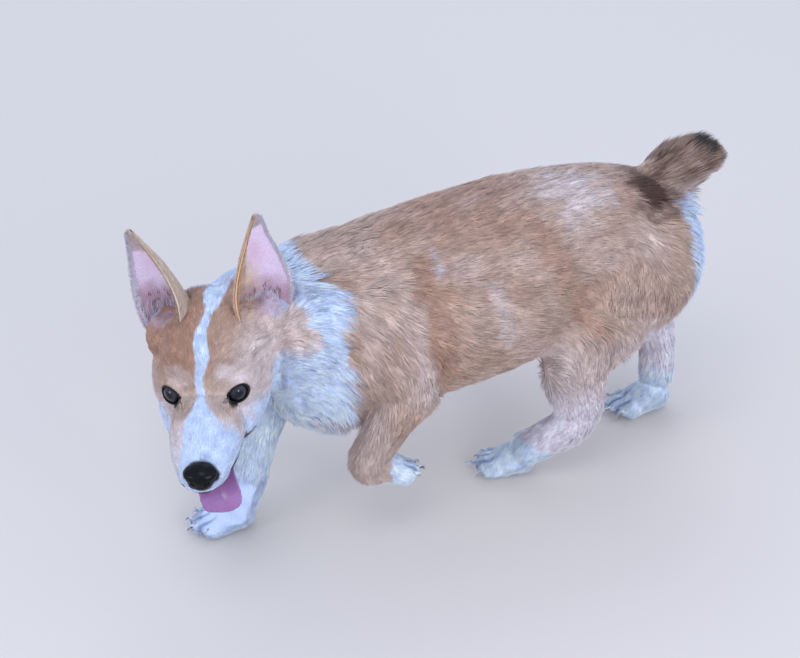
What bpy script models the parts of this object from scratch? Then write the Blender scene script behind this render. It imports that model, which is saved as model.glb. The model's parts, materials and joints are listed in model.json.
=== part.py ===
"""A young Pembroke Welsh corgi, life size, walking with its head turned to its left.

The row frame is in metres, with +Z up and the floor at zero. The dog heads along -X, with its left
side at -Y. Soft forms are lofts through named stations, fused in a voxel remesh, shaped by soft
pushes and grooves, and then parted with thin cuts. The head is laid out in a frame of its own, with
x to the nose, y to its left and z up, and its origin midway between the eyes.
"""

import math

import bmesh
import bpy
import numpy as np
from mathutils import Matrix, Vector
from mathutils.kdtree import KDTree

# Driving dimensions
GAP = 0.0003                            # between nodes that touch
VOXEL = 0.0022
FLESH_TRIANGLES = 5900
COARSE_FACTOR = 0.001                   # how strongly the thinning spares the face
FACE_BACK, FACE_SIDE, FACE_HIGH = -0.075, 0.060, 0.070
LOW = 0.045                             # paws and pasterns lie below this height
NOSE_VOXEL, NOSE_TRIANGLES = 0.0011, 280
SMOOTHING, NOSE_SMOOTHING = 10, 4
REACH = 0.5                             # of the cutting blocks, past the whole dog
HEAD_AT = (-0.2404, -0.0435, 0.1755)    # midpoint between the eyes
HEAD_YAW = 60.0                         # from straight ahead towards its left
HEAD_PITCH = 19.0                       # nose down
HEAD_ROLL = 5.0                         # left ear up
EYE_RADIUS = 0.0100
EYE_AT = (-0.0072, 0.0214, -0.0066)
EYE_OPENING = (0.0182, 0.0132)          # length and height between the lids
EYE_OUT, EYE_UP, EYE_SLANT = 30.0, 23.0, 8.0   # of the gaze, in degrees
LID = 0.0019
LID_FULL, LID_SPREAD = 48.0, 88.0       # degrees from the gaze
EAR_BASES = {1: (-0.050, 0.0450, 0.0130), -1: (-0.050, 0.0365, 0.0125)}
EAR_TIPS = {1: (-0.070, 0.0500, 0.1130), -1: (-0.064, 0.0435, 0.1060)}
EAR_HALF_WIDTHS = {1: 0.0225, -1: 0.0255}
EAR_BOWS = {1: 0.0030, -1: 0.0}         # outwards at half height
EAR_THICK = 0.0034
EAR_TWIST = (0.30, 0.72)                # shares of the height between which the opening turns
EAR_FACING = {1: (34.0, 58.0), -1: (38.0, 38.0)}     # below and above, from straight ahead outwards
NOSE_AT = (0.0675, 0.0026, -0.0118)
JAW_HINGE = (-0.045, 0.0, -0.020)
JAW_OPEN = 11.0
TONGUE_WIDTH, TONGUE_THICK = 0.0312, 0.0036
LEFT, RIGHT = -1, 1

# Trunk stations: x, y, z, half width, up, down
TRUNK = [
    (-0.148, 0.0, 0.162, 0.040, 0.046, 0.054),
    (-0.125, 0.0, 0.167, 0.054, 0.067, 0.068),
    (-0.090, 0.0, 0.172, 0.062, 0.076, 0.077),
    (-0.040, 0.0, 0.174, 0.068, 0.078, 0.076),
    (0.010, 0.0, 0.177, 0.070, 0.078, 0.074),
    (0.060, 0.0, 0.182, 0.067, 0.075, 0.068),
    (0.105, 0.0, 0.188, 0.060, 0.065, 0.056),
    (0.145, 0.0, 0.187, 0.053, 0.053, 0.050),
    (0.168, 0.0, 0.173, 0.043, 0.043, 0.046),
    (0.175, 0.0, 0.158, 0.034, 0.036, 0.038),
]
NECK = [
    (-0.205, -0.010, 0.181, 0.034, 0.035, 0.045),
    (-0.182, 0.003, 0.187, 0.040, 0.048, 0.059),
    (-0.150, 0.000, 0.191, 0.048, 0.055, 0.073),
    (-0.115, 0.0, 0.190, 0.055, 0.060, 0.070),
    (-0.075, 0.0, 0.185, 0.056, 0.065, 0.060),
]
TAIL = [
    (0.138, 0.0, 0.203, 0.028, 0.028, 0.028),
    (0.164, 0.0, 0.219, 0.023, 0.024, 0.026),
    (0.186, 0.0, 0.231, 0.019, 0.021, 0.022),
    (0.205, 0.0, 0.2375, 0.0155, 0.0165, 0.0165),
    (0.219, 0.0, 0.2375, 0.0130, 0.0130, 0.0140),
    (0.227, 0.0, 0.2365, 0.0095, 0.0095, 0.0105),
]
# Leg stations: x, y, z, half width, reach backwards, reach forwards
LEGS = {
    "foreleg_left": [
        (-0.088, -0.040, 0.200, 0.024, 0.040, 0.038),
        (-0.086, -0.050, 0.168, 0.024, 0.036, 0.036),
        (-0.076, -0.057, 0.140, 0.020, 0.028, 0.028),
        (-0.088, -0.056, 0.118, 0.0180, 0.021, 0.022),
        (-0.101, -0.053, 0.098, 0.0165, 0.0175, 0.0185),
        (-0.111, -0.050, 0.080, 0.0160, 0.0155, 0.0165),
        (-0.108, -0.048, 0.069, 0.0150, 0.0125, 0.0135),
        (-0.094, -0.047, 0.063, 0.0150, 0.0110, 0.0110),
    ],
    "foreleg_right": [
        (-0.088, 0.040, 0.195, 0.022, 0.038, 0.038),
        (-0.102, 0.046, 0.165, 0.023, 0.034, 0.034),
        (-0.112, 0.047, 0.135, 0.019, 0.026, 0.024),
        (-0.136, 0.040, 0.105, 0.0165, 0.018, 0.018),
        (-0.158, 0.032, 0.078, 0.0150, 0.0155, 0.0155),
        (-0.174, 0.025, 0.052, 0.0155, 0.0150, 0.0155),
        (-0.184, 0.020, 0.030, 0.0155, 0.0145, 0.0140),
        (-0.192, 0.018, 0.017, 0.0160, 0.0130, 0.0130),
    ],
    "hindleg_left": [
        (0.128, -0.030, 0.205, 0.026, 0.040, 0.040),
        (0.116, -0.040, 0.172, 0.027, 0.052, 0.045),
        (0.088, -0.048, 0.138, 0.025, 0.046, 0.038),
        (0.074, -0.051, 0.112, 0.022, 0.034, 0.033),
        (0.079, -0.050, 0.088, 0.0190, 0.024, 0.031),
        (0.082, -0.047, 0.067, 0.0160, 0.0190, 0.0260),
        (0.074, -0.042, 0.050, 0.0160, 0.0195, 0.0190),
        (0.058, -0.034, 0.035, 0.0155, 0.0150, 0.0150),
        (0.044, -0.024, 0.023, 0.0160, 0.0125, 0.0130),
    ],
    "hindleg_right": [
        (0.128, 0.030, 0.205, 0.026, 0.040, 0.040),
        (0.138, 0.040, 0.172, 0.027, 0.053, 0.046),
        (0.150, 0.045, 0.138, 0.023, 0.044, 0.038),
        (0.174, 0.042, 0.112, 0.0195, 0.030, 0.034),
        (0.192, 0.036, 0.090, 0.0170, 0.021, 0.029),
        (0.202, 0.029, 0.068, 0.0150, 0.0145, 0.0220),
        (0.199, 0.022, 0.046, 0.0145, 0.0135, 0.0185),
        (0.194, 0.015, 0.026, 0.0150, 0.0130, 0.0155),
    ],
}
# Paws: heel, heading in degrees from -X towards +Y, toes-down pitch, length, half width
PAWS = {
    "forepaw_left": ((-0.107, -0.048, 0.065), 180.0, 8.0, 0.042, 0.0160),
    "forepaw_right": ((-0.184, 0.0150, 0.0094), 13.0, 0.0, 0.049, 0.0190),
    "hind_paw_left": ((0.048, -0.0245, 0.0094), 33.0, 0.0, 0.048, 0.0175),
    "hind_paw_right": ((0.196, 0.010, 0.0094), 10.0, 0.0, 0.052, 0.0175),
}
# Head stations, in the head's own frame: x, y, z, half width, up, down
SKULL = [
    (-0.100, 0.012, -0.010, 0.022, 0.018, 0.024),
    (-0.088, 0.009, -0.010, 0.030, 0.023, 0.032),
    (-0.070, 0.004, -0.006, 0.0370, 0.034, 0.040),
    (-0.050, 0.002, -0.004, 0.0395, 0.040, 0.044),
    (-0.030, 0.002, -0.006, 0.0380, 0.040, 0.042),
    (-0.014, 0.0015, -0.009, 0.0345, 0.033, 0.038),
    (0.000, 0.001, -0.013, 0.0312, 0.024, 0.031),
    (0.014, 0.0015, -0.017, 0.0280, 0.0215, 0.024),
    (0.030, 0.0015, -0.0190, 0.0258, 0.0205, 0.0190),
    (0.046, 0.0015, -0.0200, 0.0228, 0.0185, 0.0160),
    (0.059, 0.0015, -0.0200, 0.0190, 0.0150, 0.0140),
    (0.067, 0.0, -0.0190, 0.0130, 0.0105, 0.0110),
]
JAW = [
    (-0.045, 0.0, -0.036, 0.030, 0.014, 0.014),
    (-0.020, 0.0, -0.040, 0.026, 0.009, 0.012),
    (0.005, 0.0, -0.042, 0.0205, 0.006, 0.010),
    (0.028, 0.0, -0.043, 0.0165, 0.005, 0.009),
    (0.044, 0.0, -0.043, 0.0140, 0.005, 0.008),
    (0.053, 0.0, -0.043, 0.0100, 0.004, 0.006),
]
TONGUE = [
    (-0.010, 0.000, -0.0385),
    (0.015, 0.002, -0.0400),
    (0.036, 0.005, -0.0430),
    (0.051, 0.008, -0.0475),
    (0.0590, 0.0112, -0.0520),
    (0.0622, 0.0130, -0.0565),
    (0.0632, 0.0138, -0.0600),
]
# How the tongue's width runs: share of its length, share of its full width
TONGUE_PROFILE = [(0, 0.62), (0.5, 0.95), (0.66, 1.0), (0.78, 0.94), (0.87, 0.79), (0.94, 0.57), (1, 0.26)]
# Rounded masses of the trunk: x, y, z, radii and turns about x, y and z in degrees
FORECHEST = ((-0.124, -0.002, 0.137), (0.050, 0.046, 0.046), (0, 35, 0))
SHOULDER = ((-0.094, 0.040, 0.182), (0.036, 0.022, 0.050), (0, -18, 0))
HAUNCH = ((0.137, 0.034, 0.171), (0.056, 0.031, 0.058), (0, 20, 0))
# Rounded masses on each side of the head, for its left side
HEAD_MASSES = {
    "cheek": ((-0.036, 0.0245, -0.022), (0.036, 0.0210, 0.030), (0, 0, 0)),
    "jowl": ((-0.012, 0.0240, -0.034), (0.036, 0.0160, 0.0155), (0, 0, -17)),
    "brow": ((-0.013, 0.019, 0.013), (0.014, 0.010, 0.009), (0, 30, -20)),
    "lip": ((0.028, 0.0158, -0.027), (0.040, 0.0112, 0.0120), (0, 3, -11)),
    "ear_root": ((-0.053, 0.0315, 0.004), (0.026, 0.0150, 0.022), (-18, 0, 0)),
}
THROAT = ((-0.045, 0, -0.036), (0.036, 0.028, 0.018), (0, -12, 0))
# The nose leather in its own frame, and the hollows in its left half
NOSE_PADS = [
    ((0, 0, 0), (0.0084, 0.0114, 0.0079)),
    ((-0.001, 0, 0.0024), (0.0091, 0.0128, 0.0062)),
    ((0.002, 0, -0.0042), (0.0063, 0.0084, 0.0060)),
]
NOSTRIL = ((0.0082, 0.0061, -0.0008), (0.0044, 0.0027, 0.0025), (0, 0, 25))
NOSTRIL_SLIT = ((0.0038, 0.0114, -0.0026), (0.0056, 0.0029, 0.0011), (20, 0, 35))
NOSE_GROOVE = ((0.0115, 0, -0.0056), (0.0030, 0.0005, 0.0070), (0, 0, 0))
# Hollows of the coat's surface, each a line of points with a width and a depth
BODY_GROOVES = [
    ([(-0.062, -0.064, 0.225), (-0.046, -0.072, 0.190), (-0.044, -0.074, 0.155)], 0.011, 0.0042),
    ([(-0.062, 0.064, 0.225), (-0.050, 0.072, 0.190), (-0.060, 0.074, 0.150)], 0.011, 0.0042),
    ([(0.078, -0.066, 0.190), (0.060, -0.070, 0.160), (0.046, -0.064, 0.130)], 0.011, 0.0042),
    ([(0.078, 0.066, 0.190), (0.072, 0.070, 0.160), (0.092, 0.064, 0.125)], 0.011, 0.0042),
    ([(0.116, -0.072, 0.112), (0.108, -0.064, 0.088)], 0.009, 0.0022),
]
HEAD_GROOVES = [
    ([(0.012, 0, 0.008), (-0.010, 0, 0.028), (-0.040, 0, 0.045)], 0.0075, 0.0016),
    ([(0.004, 0.014, 0.004), (0.014, 0.016, -0.002)], 0.006, 0.0016),
    ([(0.004, -0.014, 0.004), (0.014, -0.016, -0.002)], 0.006, 0.0016),
    ([(-0.060, 0.056, 0.018), (-0.056, 0.056, 0.002), (-0.048, 0.052, -0.016), (-0.038, 0.044, -0.032)],
     0.0065, 0.0040),
    ([(-0.056, -0.050, 0.010), (-0.054, -0.048, -0.010), (-0.046, -0.044, -0.028)], 0.0065, 0.0030),
    ([(-0.046, 0.046, 0.026), (-0.055, 0.052, 0.027), (-0.062, 0.060, 0.028)], 0.0100, 0.0095),
    ([(-0.066, 0.034, 0.029), (-0.071, 0.042, 0.030), (-0.070, 0.052, 0.030), (-0.069, 0.060, 0.030)],
     0.0090, 0.0110),
    ([(-0.044, -0.042, 0.025), (-0.052, -0.038, 0.026), (-0.058, -0.034, 0.026)], 0.0095, 0.0085),
    ([(-0.066, -0.021, 0.026), (-0.069, -0.030, 0.025), (-0.068, -0.042, 0.021)], 0.0085, 0.0105),
]
# Toes: place across the paw, spread in degrees, and reach, as shares of the paw's half width and length
TOES = [(-0.66, -13.0, 0.78), (-0.24, -4.0, 0.95), (0.24, 4.0, 0.95), (0.66, 13.0, 0.78)]
# A claw's path from its root, each point with half its width and half its height
CLAW = [
    (0.0000, 0.0, 0.0004, 0.0017, 0.0019, 0.0019),
    (0.0034, 0.0, -0.0004, 0.0013, 0.0015, 0.0015),
    (0.0054, 0.0, -0.0028, 0.0005, 0.0006, 0.0006),
]
# An ear's outline from base to tip: share of its height, of its half width, and half its arc in degrees
EAR_PROFILE = [
    (-0.16, 0.50, 100), (0.0, 0.76, 98), (0.10, 0.91, 90), (0.20, 0.99, 80), (0.32, 0.99, 68),
    (0.46, 0.90, 58), (0.60, 0.74, 52), (0.74, 0.54, 46), (0.87, 0.32, 42), (0.96, 0.16, 40),
    (1.0, 0.06, 38),
]
# Regions that the limbs, head and tail are parted along: x, y, z, half width, up or back, down or forward
REGIONS = {
    "foreleg_left": [
        (-0.086, -0.071, 0.222, 0.030, 0.034, 0.030),
        (-0.084, -0.069, 0.190, 0.034, 0.041, 0.042),
        (-0.082, -0.066, 0.150, 0.034, 0.042, 0.044),
        (-0.090, -0.062, 0.115, 0.034, 0.044, 0.046),
        (-0.100, -0.056, 0.080, 0.034, 0.050, 0.044),
        (-0.098, -0.056, 0.050, 0.034, 0.052, 0.044),
    ],
    "foreleg_right": [
        (-0.086, 0.071, 0.222, 0.030, 0.034, 0.030),
        (-0.092, 0.069, 0.190, 0.034, 0.041, 0.040),
        (-0.110, 0.062, 0.150, 0.034, 0.044, 0.038),
        (-0.140, 0.048, 0.105, 0.036, 0.040, 0.036),
        (-0.172, 0.030, 0.062, 0.040, 0.040, 0.040),
        (-0.205, 0.020, 0.015, 0.046, 0.046, 0.050),
    ],
    "hindleg_left": [
        (0.142, -0.064, 0.232, 0.030, 0.034, 0.036),
        (0.138, -0.062, 0.200, 0.036, 0.052, 0.052),
        (0.116, -0.060, 0.160, 0.038, 0.068, 0.058),
        (0.090, -0.056, 0.115, 0.038, 0.056, 0.056),
        (0.076, -0.048, 0.070, 0.038, 0.052, 0.052),
        (0.040, -0.026, 0.015, 0.046, 0.058, 0.058),
    ],
    "hindleg_right": [
        (0.142, 0.064, 0.232, 0.030, 0.034, 0.036),
        (0.142, 0.062, 0.200, 0.036, 0.052, 0.052),
        (0.146, 0.060, 0.160, 0.038, 0.060, 0.058),
        (0.172, 0.054, 0.112, 0.038, 0.050, 0.054),
        (0.206, 0.036, 0.066, 0.038, 0.040, 0.046),
        (0.190, 0.016, 0.015, 0.040, 0.050, 0.058),
    ],
    "tail": [
        (0.186, 0.0, 0.231, 0.034, 0.034, 0.030),
        (0.205, 0.0, 0.240, 0.034, 0.034, 0.034),
        (0.232, 0.0, 0.238, 0.034, 0.034, 0.034),
    ],
}
HEAD_REGION = [
    (-0.062, 0.0, -0.006, 0.062, 0.062, 0.066),
    (-0.030, 0.0, -0.010, 0.074, 0.074, 0.078),
    (0.030, 0.0, -0.012, 0.074, 0.070, 0.090),
    (0.085, 0.0, -0.012, 0.060, 0.060, 0.090),
]
# Planes that part the limbs and the trunk: which node, names above and below, a point and a normal
PLANES = [
    ("trunk", "neck", "trunk", (-0.138, 0.0, 0.180), (-0.94, 0.0, 0.34)),
    ("trunk", "ribcage", "trunk", (0.034, 0.0, 0.180), (-1.0, 0.0, 0.10)),
    ("trunk", "loin", "rump", (0.112, 0.0, 0.180), (-1.0, 0.0, -0.10)),
    ("foreleg_left", "shoulder_left", "foreleg_left", (-0.080, -0.057, 0.134), (0.20, 0.0, 1.0)),
    ("foreleg_left", "forearm_left", "forepaw_left", (-0.102, -0.048, 0.0655), (-0.35, 0.0, 0.94)),
    ("foreleg_right", "shoulder_right", "foreleg_right", (-0.112, 0.047, 0.134), (0.35, 0.0, 0.94)),
    ("foreleg_right", "forearm_right", "forepaw_right", (-0.180, 0.022, 0.036), (0.35, 0.0, 0.94)),
    ("hindleg_left", "thigh_left", "hindleg_left", (0.085, -0.050, 0.118), (0.45, 0.0, 0.89)),
    ("hindleg_left", "shank_left", "hindleg_left", (0.082, -0.045, 0.060), (-0.10, 0.0, 1.0)),
    ("hindleg_left", "pastern_left", "hind_paw_left", (0.048, -0.026, 0.026), (0.70, -0.30, 0.65)),
    ("hindleg_right", "thigh_right", "hindleg_right", (0.160, 0.045, 0.122), (-0.50, 0.0, 0.86)),
    ("hindleg_right", "shank_right", "hindleg_right", (0.213, 0.030, 0.068), (-0.30, 0.0, 0.95)),
    ("hindleg_right", "pastern_right", "hind_paw_right", (0.206, 0.016, 0.028), (0.20, 0.10, 0.97)),
]
TAN = (0.42, 0.24, 0.13)
WHITE = (0.72, 0.72, 0.74)
# Colour and roughness of the nodes that aren't plain tan
LOOKS = {
    "nose_pad": ((0.012, 0.012, 0.014), 0.35),
    "tongue": ((0.62, 0.22, 0.32), 0.35),
    "eye_left": ((0.015, 0.010, 0.008), 0.08),
    "eye_right": ((0.015, 0.010, 0.008), 0.08),
    "lower_jaw": (WHITE, 0.8),
    "neck": (WHITE, 0.85),
    "forepaw_left": (WHITE, 0.85),
    "forepaw_right": (WHITE, 0.85),
    "hind_paw_left": (WHITE, 0.85),
    "hind_paw_right": (WHITE, 0.85),
    "forearm_right": (WHITE, 0.85),
}


def clear_scene():
    """Removes every object, so that the file starts empty."""
    for old in list(bpy.data.objects):
        bpy.data.objects.remove(old)


def link(name, mesh):
    made = bpy.data.objects.new(name, mesh)
    bpy.context.scene.collection.objects.link(made)
    return made


def catmull(rows, steps):
    """Rows of numbers joined by a Catmull-Rom curve, with steps points to a span."""
    rows = np.asarray(rows, float)
    ends = np.vstack([2 * rows[0] - rows[1], rows, 2 * rows[-1] - rows[-2]])
    out = []
    for i in range(1, len(ends) - 2):
        a, b, c, d = ends[i - 1:i + 3]
        for k in range(steps):
            t = k / steps
            out.append(0.5 * (2 * b + (c - a) * t + (2 * a - 5 * b + 4 * c - d) * t * t
                              + (3 * b - a - 3 * c + d) * t ** 3))
    out.append(rows[-1])
    return np.array(out)


def mesh_object(name, points, faces, place=None):
    """An object from points and faces, with its faces turned outwards."""
    mesh = bpy.data.meshes.new(name)
    mesh.from_pydata([tuple(p) for p in points], [], faces)
    work = bmesh.new()
    work.from_mesh(mesh)
    bmesh.ops.recalc_face_normals(work, faces=work.faces)
    work.to_mesh(mesh)
    work.free()
    if place is not None:
        mesh.transform(place)
    return link(name, mesh)


def skin_rings(name, rings, tips, place=None):
    """A closed surface over rings of the same number of points, ending in two tip points."""
    sides = len(rings[0])
    points = np.vstack(list(rings) + [np.asarray(tips)])
    faces = []
    for r in range(len(rings) - 1):
        for k in range(sides):
            a, b = r * sides + k, r * sides + (k + 1) % sides
            faces.append((a, b, b + sides, a + sides))
    start, end, low = len(points) - 2, len(points) - 1, (len(rings) - 1) * sides
    for k in range(sides):
        faces.append((start, (k + 1) % sides, k))
        faces.append((end, low + k, low + (k + 1) % sides))
    return mesh_object(name, points, faces, place)


def loft(name, stations, sides=24, steps=4, power=2.0, grow=0.0, place=None):
    """A closed tube through stations of x, y, z, half width, up and down, with rounded ends."""
    rows = catmull(stations, steps)
    centres, sizes = rows[:, :3], np.maximum(rows[:, 3:6], 0.0008) + grow
    along = np.gradient(centres, axis=0)
    along /= np.linalg.norm(along, axis=1)[:, None]
    side = np.array((0.0, 1.0, 0.0))
    across = side - along * (along @ side)[:, None]
    across /= np.linalg.norm(across, axis=1)[:, None]
    over = np.cross(along, across)
    turn = np.linspace(0, 2 * math.pi, sides, endpoint=False)
    c = np.sign(np.cos(turn)) * np.abs(np.cos(turn)) ** (2 / power)
    s = np.sign(np.sin(turn)) * np.abs(np.sin(turn)) ** (2 / power)

    def ring(i, shift, scale):
        w, up, down = sizes[i] * scale
        high = np.where(s > 0, up, down) * s
        return centres[i] + along[i] * shift + np.outer(c * w, across[i]) + np.outer(high, over[i])

    first, last = 0.7 * sizes[0].min(), 0.7 * sizes[-1].min()
    rings = [ring(0, -first * math.sin(t), math.cos(t)) for t in (1.13, 0.61)]
    rings += [ring(i, 0.0, 1.0) for i in range(len(rows))]
    rings += [ring(-1, last * math.sin(t), math.cos(t)) for t in (0.61, 1.13)]
    tips = (centres[0] - along[0] * first, centres[-1] + along[-1] * last)
    return skin_rings(name, rings, tips, place)


def turned(angles):
    """A rotation by angles in degrees about x, then y, then z."""
    rotation = Matrix.Identity(4)
    for angle, axis in zip(angles, "XYZ"):
        rotation = Matrix.Rotation(math.radians(angle), 4, axis) @ rotation
    return rotation


def ball(name, centre, radii, angles=(0, 0, 0), place=None, segments=24):
    """An ellipsoid, turned about its own centre."""
    work = bmesh.new()
    bmesh.ops.create_uvsphere(work, u_segments=segments, v_segments=segments // 2 + 2, radius=1.0)
    mesh = bpy.data.meshes.new(name)
    work.to_mesh(mesh)
    work.free()
    mesh.transform(Matrix.Translation(centre) @ turned(angles) @ Matrix.Diagonal((*radii, 1)))
    if place is not None:
        mesh.transform(place)
    return link(name, mesh)


def block(name, frame, low, high):
    """A box between two corners of a frame."""
    low, high = Vector(low), Vector(high)
    work = bmesh.new()
    bmesh.ops.create_cube(work, size=1.0)
    mesh = bpy.data.meshes.new(name)
    work.to_mesh(mesh)
    work.free()
    mesh.transform(frame @ Matrix.Translation((low + high) / 2) @ Matrix.Diagonal((*(high - low), 1)))
    return link(name, mesh)


def apply_modifiers(obj):
    """The object's mesh becomes its evaluated mesh, without vertex groups."""
    graph = bpy.context.evaluated_depsgraph_get()
    fresh = bpy.data.meshes.new_from_object(obj.evaluated_get(graph))
    obj.modifiers.clear()
    obj.data = fresh
    obj.vertex_groups.clear()
    return obj


def join(name, pieces):
    """The pieces in one object, with nothing fused."""
    work = bmesh.new()
    for piece in pieces:
        work.from_mesh(piece.data)
        bpy.data.objects.remove(piece)
    mesh = bpy.data.meshes.new(name)
    work.to_mesh(mesh)
    work.free()
    return link(name, mesh)


def fuse(name, pieces, voxel, rounds):
    """The pieces as one smooth closed surface."""
    made = join(name, pieces)
    remesh = made.modifiers.new("voxels", "REMESH")
    remesh.mode = "VOXEL"
    remesh.voxel_size = voxel
    smooth = made.modifiers.new("smooth", "SMOOTH")
    smooth.factor = 0.5
    smooth.iterations = rounds
    return apply_modifiers(made)


def combine(obj, other, operation, keep=False):
    """A Boolean of two closed objects, applied. Only the largest closed surface stays."""
    step = obj.modifiers.new("combine", "BOOLEAN")
    step.operation = operation
    step.solver = "EXACT"
    step.object = other
    apply_modifiers(obj)
    if not keep:
        bpy.data.objects.remove(other)
    return keep_largest(obj)


def copy_of(obj, name, grow=0.0):
    """A copy, with its surface moved outwards."""
    mesh = obj.data.copy()
    if grow:
        points, normals = coordinates(mesh), vertex_normals(mesh)
        set_coordinates(mesh, points + normals * grow)
    return link(name, mesh)


def coordinates(mesh):
    out = np.empty(len(mesh.vertices) * 3, np.float32)
    mesh.vertices.foreach_get("co", out)
    return out.reshape(-1, 3).astype(float)


def vertex_normals(mesh):
    out = np.empty(len(mesh.vertices) * 3, np.float32)
    mesh.vertex_normals.foreach_get("vector", out)
    return out.reshape(-1, 3).astype(float)


def set_coordinates(mesh, points):
    mesh.vertices.foreach_set("co", points.astype(np.float32).ravel())
    mesh.update()


def keep_largest(obj):
    """Leaves the connected surface with the most vertices."""
    work = bmesh.new()
    work.from_mesh(obj.data)
    left, best = set(work.verts), []
    while left:
        seed = left.pop()
        found, front = [seed], [seed]
        while front:
            for edge in front.pop().link_edges:
                for v in edge.verts:
                    if v in left:
                        left.discard(v)
                        found.append(v)
                        front.append(v)
        if len(found) > len(best):
            best = found
    keep = set(best)
    bmesh.ops.delete(work, geom=[v for v in work.verts if v not in keep], context="VERTS")
    work.to_mesh(obj.data)
    work.free()
    return obj


def halves(obj, names, point, normal):
    """Parts an object at a plane, with a gap. The first half is the one the normal points to."""
    frame = Vector(normal).to_track_quat("Z", "Y").to_matrix().to_4x4()
    frame.translation = Vector(point)
    other = copy_of(obj, names[1])
    obj.name = names[0]
    combine(obj, block("upper", frame, (-REACH, -REACH, GAP / 2), (REACH, REACH, REACH)), "INTERSECT")
    combine(other, block("lower", frame, (-REACH, -REACH, -REACH), (REACH, REACH, -GAP / 2)), "INTERSECT")
    return obj, other


def triangulate(obj):
    work = bmesh.new()
    work.from_mesh(obj.data)
    bmesh.ops.triangulate(work, faces=work.faces)
    work.to_mesh(obj.data)
    work.free()
    return obj


def part_off(obj, name, region):
    """Takes the part of an object inside a region off it, with a gap."""
    triangulate(region)
    piece = copy_of(obj, name)
    grown = copy_of(region, "grown", GAP * 1.15)
    combine(piece, region, "INTERSECT")
    combine(obj, grown, "DIFFERENCE")
    return piece


def head_matrix():
    """Places the head's own frame in the row frame."""
    yaw = Matrix.Rotation(math.radians(180 + HEAD_YAW), 4, "Z")
    pitch = Matrix.Rotation(math.radians(HEAD_PITCH), 4, "Y")
    roll = Matrix.Rotation(math.radians(HEAD_ROLL), 4, "X")
    return Matrix.Translation(HEAD_AT) @ yaw @ pitch @ roll


def eye_frame(side):
    """A frame at an eyeball's centre, with z along the gaze and x along the opening."""
    out, up = math.radians(EYE_OUT), math.radians(EYE_UP)
    gaze = Vector((math.cos(out) * math.cos(up), side * math.sin(out) * math.cos(up), math.sin(up)))
    slant = math.radians(EYE_SLANT)
    level = Vector((0, 0, 1)).cross(gaze).normalized() * side
    high = gaze.cross(level) * side
    long = level * math.cos(slant) + high * math.sin(slant)
    frame = Matrix((long, gaze.cross(long), gaze)).transposed().to_4x4()
    frame.translation = Vector((EYE_AT[0], side * EYE_AT[1], EYE_AT[2]))
    return frame


def almond(name, side, place, grow=0.0):
    """The opening between the lids, as a pointed prism along the gaze."""
    turn = np.linspace(0, 2 * math.pi, 16, endpoint=False)
    length, height = EYE_OPENING[0] / 2 + grow, EYE_OPENING[1] / 2 + grow
    x = length * np.cos(turn)
    y = height * np.sign(np.sin(turn)) * np.abs(np.sin(turn)) ** 1.25
    rings = []
    for z, scale in ((0.0045, 0.75), (0.0075, 0.92), (0.0100, 1.0), (0.0125, 1.12), (0.0160, 1.3)):
        rings.append(np.stack([x * scale, y * scale, np.full_like(x, z)], 1))
    return skin_rings(name, rings, ((0, 0, 0.0045), (0, 0, 0.0160)), place @ eye_frame(side))


def mirrored(mass, side):
    """A mass on the left of the head, or its mirror image on the right."""
    at, radii, turns = mass
    return (at[0], at[1] * side, at[2]), radii, (turns[0] * side, turns[1], turns[2] * side)


def head_pieces(place):
    pieces = [loft("skull", SKULL, power=2.2, place=place), ball("throat", *THROAT, place)]
    for name, mass in HEAD_MASSES.items():
        for side in (1, -1):
            pieces.append(ball(name, *mirrored(mass, side), place))
    return pieces


def paw_frame(at, heading, pitch):
    """A frame at a heel, with x to the toes and z up."""
    yaw = Matrix.Rotation(math.radians(180 - heading), 4, "Z")
    return Matrix.Translation(at) @ yaw @ Matrix.Rotation(math.radians(pitch), 4, "Y")


def toe_frame(frame, length, half, toe):
    """A frame at the middle of a toe, with x to its tip."""
    share, spread, reach = toe
    at = Matrix.Translation((length * (reach - 0.22), share * half, 0.0))
    return frame @ at @ Matrix.Rotation(math.radians(spread), 4, "Z")


def paw_pieces(name, at, heading, pitch, length, half):
    """The flesh of a paw: its back, its pad and four toes."""
    frame = paw_frame(at, heading, pitch)
    back = ((length * 0.26, 0, 0.003), (length * 0.40, half * 0.92, 0.0125))
    pad = ((length * 0.42, 0, -0.003), (length * 0.30, half * 0.85, 0.0095))
    pieces = [ball(name, *back, place=frame), ball(name, *pad, place=frame)]
    for toe in TOES:
        where = toe_frame(frame, length, half, toe)
        pieces.append(ball(name, (0, 0, -0.0032), (length * 0.23, half * 0.30, 0.0085), (0, 4, 0), where))
    return pieces


def claw_pieces(at, heading, pitch, length, half):
    """Short curved claws at the tips of the toes."""
    frame, pieces = paw_frame(at, heading, pitch), []
    for toe in TOES:
        where = toe_frame(frame, length, half, toe) @ Matrix.Translation((length * 0.19, 0, 0.0))
        pieces.append(loft("claw", CLAW, sides=6, steps=1, place=where))
    return pieces


def body_pieces():
    pieces = [loft("trunk", TRUNK, sides=32, power=2.15), loft("neck", NECK, sides=28)]
    pieces.append(loft("tail", TAIL, sides=16))
    for name, stations in LEGS.items():
        pieces.append(loft(name, stations, sides=20))
    for name, paw in PAWS.items():
        pieces += paw_pieces(name, *paw)
    pieces.append(ball("forechest", *FORECHEST))
    for side in (LEFT, RIGHT):
        for name, mass in (("shoulder", SHOULDER), ("haunch", HAUNCH)):
            pieces.append(ball(name, *mirrored(mass, side)))
    return pieces


def groove(points, normals, line, width, depth):
    """Sinks the surface along a line, or raises it with a negative depth."""
    line = catmull(line, 6)
    tree = KDTree(len(line))
    for i, p in enumerate(line):
        tree.insert(p, i)
    tree.balance()
    gap = np.array([tree.find(p)[2] for p in points])
    return points - normals * (depth * np.exp(-(gap / width) ** 2))[:, None]


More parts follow.
